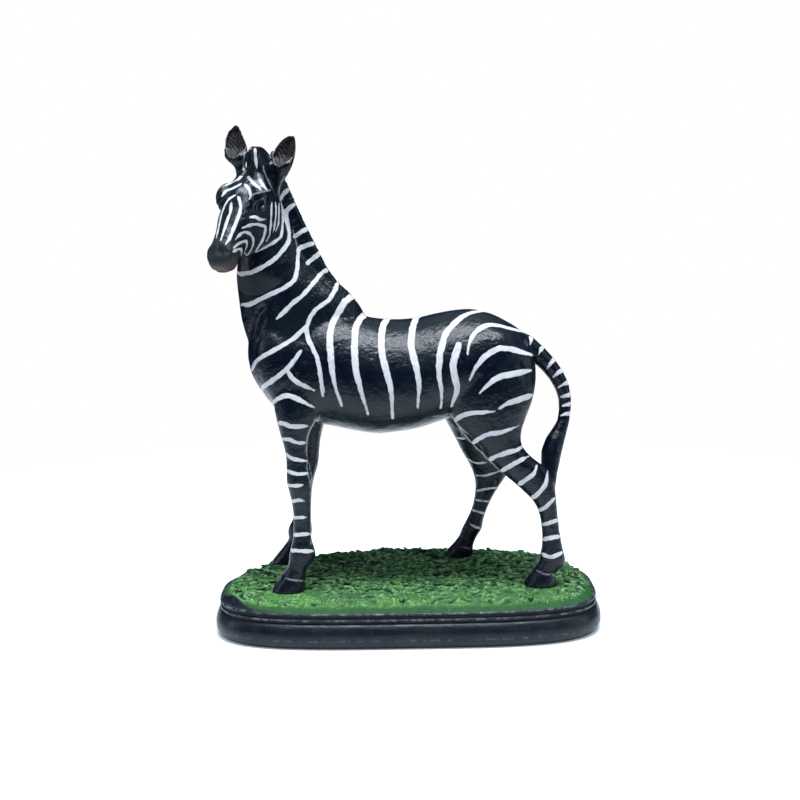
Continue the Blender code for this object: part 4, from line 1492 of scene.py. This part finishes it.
def build_base():
    """Plinth and grass as one closed mesh: rings up the moulding, then a grid over the top."""
    turf_length = BASE_HALF_LENGTH - RIM_INSET - LEDGE_WIDTH
    turf_depth = BASE_HALF_DEPTH - RIM_INSET - LEDGE_WIDTH
    columns = round(2 * turf_length / TURF_STEP)
    rows = round(2 * turf_depth / TURF_STEP)
    u, v = np.meshgrid(np.linspace(-1, 1, columns + 1), np.linspace(-1, 1, rows + 1), indexing="ij")
    x, y = outline_point(u, v, turf_length, turf_depth)
    z, relief, inside = turf_surface(x, y, turf_length, turf_depth)
    top = np.stack([x, y, z], -1).reshape(-1, 3)
    number = np.arange(len(top)).reshape(columns + 1, rows + 1)
    faces = [
        (number[i, j], number[i + 1, j], number[i + 1, j + 1], number[i, j + 1])
        for i in range(columns)
        for j in range(rows)
    ]
    walk = np.concatenate([number[:-1, 0], number[-1, :-1], number[:0:-1, -1], number[0, :0:-1]])
    walk_u, walk_v = u.reshape(-1)[walk], v.reshape(-1)[walk]
    places = [top]
    above = walk
    count = len(top)
    for inset, height in moulding()[::-1]:
        ring_x, ring_y = outline_point(walk_u, walk_v, BASE_HALF_LENGTH - inset, BASE_HALF_DEPTH - inset)
        places.append(np.stack([ring_x, ring_y, np.full(len(walk), height)], 1))
        ring = np.arange(count, count + len(walk))
        count += len(walk)
        faces += list(zip(ring, np.roll(ring, -1), np.roll(above, -1), above))
        above = ring
    faces.append(tuple(above[::-1]))
    places = np.concatenate(places)
    mesh = bpy.data.meshes.new("plinth_and_grass")
    mesh.from_pydata((places * MM).tolist(), [], [[int(k) for k in face] for face in faces])
    mesh.update()
    bulge = WIDE_LEDGE_EXTRA * bell(y, WIDE_LEDGE_AT, WIDE_LEDGE_SPAN) * (x < 0)
    # The crests of the grass, and its hollows, which the paint darkens as painted shade
    on_top = {
        "crest": relief - blurred(relief, CREST_BLUR),
        "grass": ramp(inside - bulge, -0.5, 0.2),
        "border": ramp(inside, LAWN_EDGE, LAWN_EDGE - 1.2) * ramp(y, 0, -10),
    }
    rest = np.zeros(len(places) - len(top))
    marks = {name: np.concatenate([grid.reshape(-1), rest]) for name, grid in on_top.items()}
    # Where the plinth's edges get painted highlights
    ring_heights = np.repeat([height for _, height in moulding()[::-1]], len(walk))
    glint = sum(share * bell(ring_heights, at, GLINT_WIDTH) for at, share in GLINTS)
    marks["glint"] = np.concatenate([np.zeros(len(top)), glint])
    put_attributes(mesh, marks)
    mesh.shade_smooth()
    base = new_object("plinth_and_grass", mesh)
    mesh.materials.append(base_paint())
    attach(base, "root")
    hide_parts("base")
    return base, columns * rows


def blurred(grid, reach):
    """The grid averaged over a square of cells round each one."""
    wide = np.pad(grid, reach, mode="edge")
    total = np.zeros(grid.shape)
    side = 2 * reach + 1
    for i in range(side):
        for j in range(side):
            total += wide[i:i + grid.shape[0], j:j + grid.shape[1]]
    return total / side**2


def leaf_object():
    """One small curled clump of grass, flattened and pointed, with its tip lifted."""
    bm = bmesh.new()
    bmesh.ops.create_uvsphere(bm, u_segments=8, v_segments=5, radius=1)
    crest = []
    for vert in bm.verts:
        x, y, z = vert.co
        forward = (x + 1) / 2
        width = 1 - 0.55 * forward**2
        lift = LEAF_CURL * forward**2
        vert.co = Vector((x * LEAF_LENGTH, y * LEAF_WIDTH * width, z * LEAF_THICKNESS + lift))
        # The underside and root are marked low, so that the paint darkens them: painted shade
        crest.append(0.45 * forward**2 - 0.15 if z > -0.2 else -0.16)
    mesh = bpy.data.meshes.new("grass_leaf")
    bm.to_mesh(mesh)
    bm.free()
    mesh.transform(Matrix.Scale(MM, 4))
    put_attributes(mesh, {"crest": crest, "grass": np.ones(len(crest))})
    mesh.shade_smooth()
    leaf = new_object("grass_leaf", mesh)
    leaf.hide_render = True
    return leaf


def tuft_tree():
    """Scatters leaves over the grass: spacing, density, size, seed and finish are inputs."""
    tree = bpy.data.node_groups.new("grass_tufts", "GeometryNodeTree")
    sockets = {
        "Turf": "Geometry",
        "Leaf": "Object",
        "Spacing": "Float",
        "Density": "Float",
        "Least size": "Float",
        "Greatest size": "Float",
        "Seed": "Int",
        "Finish": "Material",
    }
    for name, kind in sockets.items():
        tree.interface.new_socket(name, in_out="INPUT", socket_type="NodeSocket" + kind)
    tree.interface.new_socket("Tufts", in_out="OUTPUT", socket_type="NodeSocketGeometry")
    given = tree.nodes.new("NodeGroupInput").outputs
    room = add_node(tree, "GeometryNodeInputNamedAttribute", {"Name": "room"}, data_type="FLOAT")
    points = add_node(
        tree,
        "GeometryNodeDistributePointsOnFaces",
        {
            "Mesh": given["Turf"],
            "Distance Min": given["Spacing"],
            "Density Max": given["Density"],
            "Density Factor": room.outputs["Attribute"],
            "Seed": given["Seed"],
        },
        distribute_method="POISSON",
    )
    lean = add_node(
        tree,
        "FunctionNodeRandomValue",
        {0: LEAF_TURNS[0], 1: LEAF_TURNS[1], "Seed": given["Seed"]},
        data_type="FLOAT_VECTOR",
    )
    size = add_node(
        tree,
        "FunctionNodeRandomValue",
        {2: given["Least size"], 3: given["Greatest size"], "Seed": given["Seed"]},
        data_type="FLOAT",
    )
    leaf = add_node(tree, "GeometryNodeObjectInfo", {"Object": given["Leaf"]})
    placed = add_node(
        tree,
        "GeometryNodeInstanceOnPoints",
        {
            "Points": points.outputs["Points"],
            "Instance": leaf.outputs["Geometry"],
            "Rotation": lean.outputs["Value"],
            "Scale": size.outputs[1],
        },
    )
    real = add_node(tree, "GeometryNodeRealizeInstances", {"Geometry": placed.outputs["Instances"]})
    painted = {"Geometry": real.outputs["Geometry"], "Material": given["Finish"]}
    done = add_node(tree, "GeometryNodeSetMaterial", painted)
    out = tree.nodes.new("NodeGroupOutput")
    tree.links.new(done.outputs["Geometry"], out.inputs["Tufts"])
    return tree


def grow_tufts(base, turf_faces):
    """Leaves over the grass, kept off the hooves and the border."""
    bm = bmesh.new()
    bm.from_mesh(base.data)
    bm.faces.ensure_lookup_table()
    bmesh.ops.delete(bm, geom=bm.faces[turf_faces:], context="FACES")
    mesh = bpy.data.meshes.new("turf_only")
    bm.to_mesh(mesh)
    bm.free()
    places = vertex_places(mesh) / MM
    x, y = places[:, 0], places[:, 1]
    inside = edge_distance(x, y, BASE_HALF_LENGTH - RIM_INSET, BASE_HALF_DEPTH - RIM_INSET)
    room = ramp(inside, 4.5, 7)
    room *= 0.12 + 0.88 * ramp(y, FRONT_LAWN, FRONT_LAWN + 14)
    for away, _ in sole_distances(x, y):
        room *= ramp(away, LEAF_LENGTH, LEAF_LENGTH + 1.5)
    put_attributes(mesh, {"room": room})
    host = new_object("turf_only", mesh)
    modifier = host.modifiers.new("tufts", "NODES")
    modifier.node_group = tuft_tree()
    values = {
        "Leaf": leaf_object(),
        "Spacing": LEAF_SPACING * MM,
        "Density": LEAF_DENSITY,
        "Least size": LEAF_SIZES[0],
        "Greatest size": LEAF_SIZES[1],
        "Seed": CLUMP_SEED,
        "Finish": base.data.materials[0],
    }
    for item in modifier.node_group.interface.items_tree:
        if item.in_out == "INPUT" and item.name in values:
            modifier[item.identifier] = values[item.name]
    tufts = new_object("grass_tufts", evaluated_mesh(host))
    for spare in (host, values["Leaf"]):
        bpy.data.objects.remove(spare)
    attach(tufts, "root")
    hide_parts("base")


def add_node(tree, kind, values=None, **settings):
    """A node with its settings, and with its inputs given or linked."""
    made = tree.nodes.new(kind)
    for name, value in settings.items():
        setattr(made, name, value)
    for socket, value in (values or {}).items():
        if isinstance(value, bpy.types.NodeSocket):
            tree.links.new(value, made.inputs[socket])
        else:
            made.inputs[socket].default_value = value
    return made


def mixed(tree, share, first, second):
    values = {0: share, 6: first, 7: second}
    return add_node(tree, "ShaderNodeMix", values, data_type="RGBA").outputs[2]


def layered(tree, colour, layers):
    """A colour with others painted over it one after another, each by its share."""
    for share, over in layers:
        colour = mixed(tree, share, colour, over)
    return colour


def maths(tree, operation, *values):
    return add_node(tree, "ShaderNodeMath", dict(enumerate(values)), operation=operation).outputs[0]


def between(tree, value, low, high, start=0.0, end=1.0):
    values = {0: value, 1: low, 2: high, 3: start, 4: end}
    made = add_node(tree, "ShaderNodeMapRange", values, interpolation_type="SMOOTHSTEP")
    return made.outputs[0]


def grain(tree, where, cells, detail=3.0, roughness=0.55, swirl=0.0):
    values = {"Vector": where, "Scale": cells, "Detail": detail, "Roughness": roughness}
    values["Distortion"] = swirl
    return add_node(tree, "ShaderNodeTexNoise", values).outputs["Fac"]


def stretched(tree, where, scale):
    return add_node(tree, "ShaderNodeMapping", {"Vector": where, "Scale": scale}).outputs[0]


def mark(tree, name):
    return add_node(tree, "ShaderNodeAttribute", attribute_name=name).outputs["Fac"]


def paint(name, roughness, shine):
    """A new painted finish, its tree, its shader and the place on the piece."""
    material = bpy.data.materials.new(name)
    material.use_nodes = True
    tree = material.node_tree
    shader = tree.nodes["Principled BSDF"]
    shader.inputs["Roughness"].default_value = roughness
    shader.inputs["Specular IOR Level"].default_value = shine
    where = add_node(tree, "ShaderNodeTexCoord").outputs["Object"]
    return material, tree, shader, where


def finish_paint(tree, shader, colour, roughness, normal):
    tree.links.new(colour, shader.inputs["Base Color"])
    tree.links.new(roughness, shader.inputs["Roughness"])
    tree.links.new(normal, shader.inputs["Normal"])


def black_paint(tree, where):
    """Blue-black gloss paint with a slate and green-grey bloom: its colour."""
    cloud = grain(tree, where, CLOUD_CELLS, 4)
    fleck = grain(tree, where, FLECK_CELLS, 5, 0.65)
    dark = mixed(tree, between(tree, cloud, 0.35, 0.7), PAINT_BLACK, PAINT_SLATE)
    return mixed(tree, between(tree, fleck, 0.52, 0.78), dark, PAINT_BLOOM)


def zebra_paint():
    material, tree, shader, where = paint("zebra_paint", FIGURE_ROUGHNESS, PAINT_SHINE)
    wobble = grain(tree, where, RAGGED_CELLS, 4)
    ragged = maths(tree, "MULTIPLY_ADD", wobble, 1.2, -0.6)
    # Streaks run along each stroke
    spot = {0: mark(tree, "stroke_along"), 1: mark(tree, "stroke_across")}
    stroke = add_node(tree, "ShaderNodeCombineXYZ", spot).outputs[0]
    streak = grain(tree, stretched(tree, stroke, STREAK_STRETCH), 1, 4, 0.6)
    white = mixed(tree, between(tree, streak, 0.42, 0.66), STROKE_WHITE, STROKE_GREY)
    inside = between(tree, maths(tree, "ADD", mark(tree, "stripe"), ragged), 0.14, -0.16)
    white_share = maths(tree, "MULTIPLY", inside, between(tree, streak, 0.66, 0.8, 1, 0.35))
    # Share of the pale lines: painted highlights along edges, and the hoof lines
    pale_share = between(tree, maths(tree, "ADD", mark(tree, "pale"), ragged), 0.5, -0.2, 0, 0.5)
    breakup = between(tree, wobble, 0.3, 0.62, 0.15, 0.75)
    ear, muzzle = mark(tree, "ear"), mark(tree, "muzzle")
    layers = (
        (ear, mixed(tree, between(tree, mark(tree, "hairs"), 0.07, 0.17), EAR_DARK, EAR_VEIN)),
        # Painted highlight along the raised rim of each ear's hollow
        (between(tree, mark(tree, "ear_rim"), 0.25, 0.9, 0, 0.4), STROKE_GREY),
        (muzzle, MUZZLE_SLATE),
        (mark(tree, "lip"), LIP_BROWN),
        (mark(tree, "nostrils"), PAINT_BLACK),
        # Thin pale paint, partly painted highlights on the forehead, brows and the face's edge
        (maths(tree, "MULTIPLY", mark(tree, "smear_and_highlight"), breakup), PALE_PAINT_AND_HIGHLIGHT_GREY),
        (mark(tree, "eye_ring"), EYE_GREY),
        # Painted highlight on each eye
        (mark(tree, "painted_eye_highlight"), STROKE_WHITE),
        # Painted highlights along edges of the form, and the line round each hoof
        (pale_share, STROKE_GREY),
        (white_share, white),
    )
    colour = layered(tree, black_paint(tree, where), layers)
    gloss = between(tree, grain(tree, where, GLOSS_CELLS, 4), 0.3, 0.7, 0.14, 0.24)
    soft_parts = maths(tree, "MAXIMUM", ear, muzzle)
    worn = layered(tree, gloss, ((white_share, ROUGH_STROKES), (soft_parts, ROUGH_SOFT_PARTS)))
    pits = grain(tree, where, PIT_CELLS, 4, 0.7)
    height = maths(tree, "MULTIPLY_ADD", grain(tree, where, LUMP_CELLS, 2), 2, pits)
    bump = add_node(tree, "ShaderNodeBump", {"Height": height, **SKIN_BUMP}).outputs[0]
    raised = maths(tree, "MULTIPLY_ADD", streak, 0.4, white_share)
    ridge = add_node(tree, "ShaderNodeBump", {"Height": raised, "Normal": bump, **STROKE_BUMP})
    finish_paint(tree, shader, colour, worn, ridge.outputs[0])
    return material


def base_paint():
    material, tree, shader, where = paint("base_paint", BASE_ROUGHNESS, PAINT_SHINE)
    rearward = add_node(tree, "ShaderNodeSeparateXYZ", {0: where}).outputs[1]
    grass, crest = mark(tree, "grass"), mark(tree, "crest")
    # The grass darkens towards the back, in wandering patches
    back = between(tree, maths(tree, "MULTIPLY_ADD", rearward, 12, 0.5), -0.6, 0.55)
    patch = grain(tree, where, GRASS_PATCH_CELLS, 4, 0.6)
    shade = maths(tree, "ADD", back, maths(tree, "MULTIPLY_ADD", patch, 1.4, -0.7))
    # Fine curled lines, brushed brighter in places
    swirl = grain(tree, where, GRASS_SWIRL_CELLS, 1.5, 0.5, GRASS_SWIRL)
    line = between(tree, maths(tree, "ABSOLUTE", maths(tree, "SUBTRACT", swirl, 0.5)), 0.04, 0.004)
    patchy = between(tree, grain(tree, where, GRASS_BRUSH_CELLS, 2), 0.4, 0.6, 0.25, 0.8)
    tip = maths(tree, "ADD", crest, between(tree, swirl, 0.3, 0.7, -0.2, 0.2))
    bright = mixed(tree, between(tree, shade, -0.15, 0.75), GRASS_BRIGHT, GRASS_MIDDLE)
    layers = (
        (between(tree, shade, 0.6, 1.15), GRASS_BACK),
        # Painted shade: darker in the hollows between clumps and under the leaves
        (between(tree, crest, 0.02, -0.42), GRASS_HOLLOW_SHADE),
        (maths(tree, "MULTIPLY", line, patchy), GRASS_CREST),
        (between(tree, tip, 0.12, 0.55, 0, 0.6), GRASS_CREST),
        (maths(tree, "MULTIPLY", mark(tree, "border"), 0.85), GRASS_EDGE),
    )
    green = layered(tree, bright, layers)
    # Painted highlights: broken pale lines along the plinth's edges
    broken = between(tree, grain(tree, where, FLECK_CELLS, 5, 0.75), 0.46, 0.62, 0.05, 0.9)
    glints = maths(tree, "MULTIPLY", mark(tree, "glint"), broken)
    plinth = mixed(tree, glints, black_paint(tree, where), PALE_PAINT_AND_HIGHLIGHT_GREY)
    gloss = between(tree, grain(tree, where, PLINTH_GLOSS_CELLS, 4), 0.3, 0.7, 0.3, 0.46)
    scratch = grain(tree, stretched(tree, where, SCRATCH_STRETCH), 1, 4, 0.6)
    height = maths(tree, "ADD", scratch, grain(tree, where, PLINTH_PIT_CELLS, 3, 0.6))
    folded = maths(tree, "MULTIPLY", maths(tree, "MULTIPLY", line, grass), 2.2)
    height = maths(tree, "ADD", height, folded)
    bump = add_node(tree, "ShaderNodeBump", {"Height": height, **PLINTH_BUMP}).outputs[0]
    colour = mixed(tree, grass, plinth, green)
    finish_paint(tree, shader, colour, mixed(tree, grass, gloss, ROUGH_GRASS), bump)
    return material


def lay_floor():
    bpy.ops.mesh.primitive_circle_add(vertices=96, radius=FLOOR_REACH, fill_type="NGON")
    floor = bpy.context.object
    floor.name = "studio_floor"
    material, tree, shader, where = paint("studio_white", FLOOR_ROUGHNESS, FLOOR_SHINE)
    soft = mixed(tree, grain(tree, where, FLOOR_CELLS, 2), FLOOR_LIGHT, FLOOR_PALE)
    tree.links.new(soft, shader.inputs["Base Color"])
    shader.inputs["Emission Color"].default_value = FLOOR_TINT
    shader.inputs["Emission Strength"].default_value = FLOOR_GLOW
    floor.data.materials.append(material)


def add_softbox(name, place, size, power):
    light = bpy.data.lights.new(name, "AREA")
    light.shape = "RECTANGLE"
    light.size, light.size_y = size
    light.energy = power
    light.color = LAMP_LIGHT
    lamp = new_object(name, light)
    lamp.location = place
    lamp.rotation_euler = (LAMP_AIM - Vector(place)).to_track_quat("-Z", "Y").to_euler()


def light_studio():
    scene = bpy.context.scene
    scene.view_settings.view_transform = "Standard"
    scene.view_settings.look = "None"
    world = bpy.data.worlds.new("studio")
    world.use_nodes = True
    tree = world.node_tree
    ground = tree.nodes["Background"]
    way = add_node(tree, "ShaderNodeTexCoord").outputs["Generated"]
    rise = add_node(tree, "ShaderNodeSeparateXYZ", {0: way}).outputs[2]
    sky = mixed(tree, between(tree, rise, 0.25, 0.9), HORIZON_LIGHT, OVERHEAD_LIGHT)
    seen = add_node(tree, "ShaderNodeLightPath").outputs["Is Camera Ray"]
    tree.links.new(mixed(tree, seen, sky, BACKDROP_LIGHT), ground.inputs["Color"])
    scene.world = world
    for name, box in SOFTBOXES.items():
        add_softbox(name, *box)


def set_camera():
    camera = bpy.data.cameras.new("photographer")
    camera.sensor_width = SENSOR_WIDTH
    camera.lens = SENSOR_WIDTH * VIEW_FOCUS / (2 * PHOTO_MIDDLE)
    viewer = new_object("photographer", camera)
    right, above, ahead = view_axes()
    roll = Matrix.Rotation(-math.radians(VIEW_ROLL), 3, "Z")
    turn = Matrix((right, above, -ahead)).transposed() @ roll
    viewer.matrix_world = Matrix.Translation(VIEW_PLACE * MM) @ turn.to_4x4()
    bpy.context.scene.camera = viewer


build_zebra()
base, turf_faces = build_base()
grow_tufts(base, turf_faces)
lay_floor()
light_studio()
set_camera()
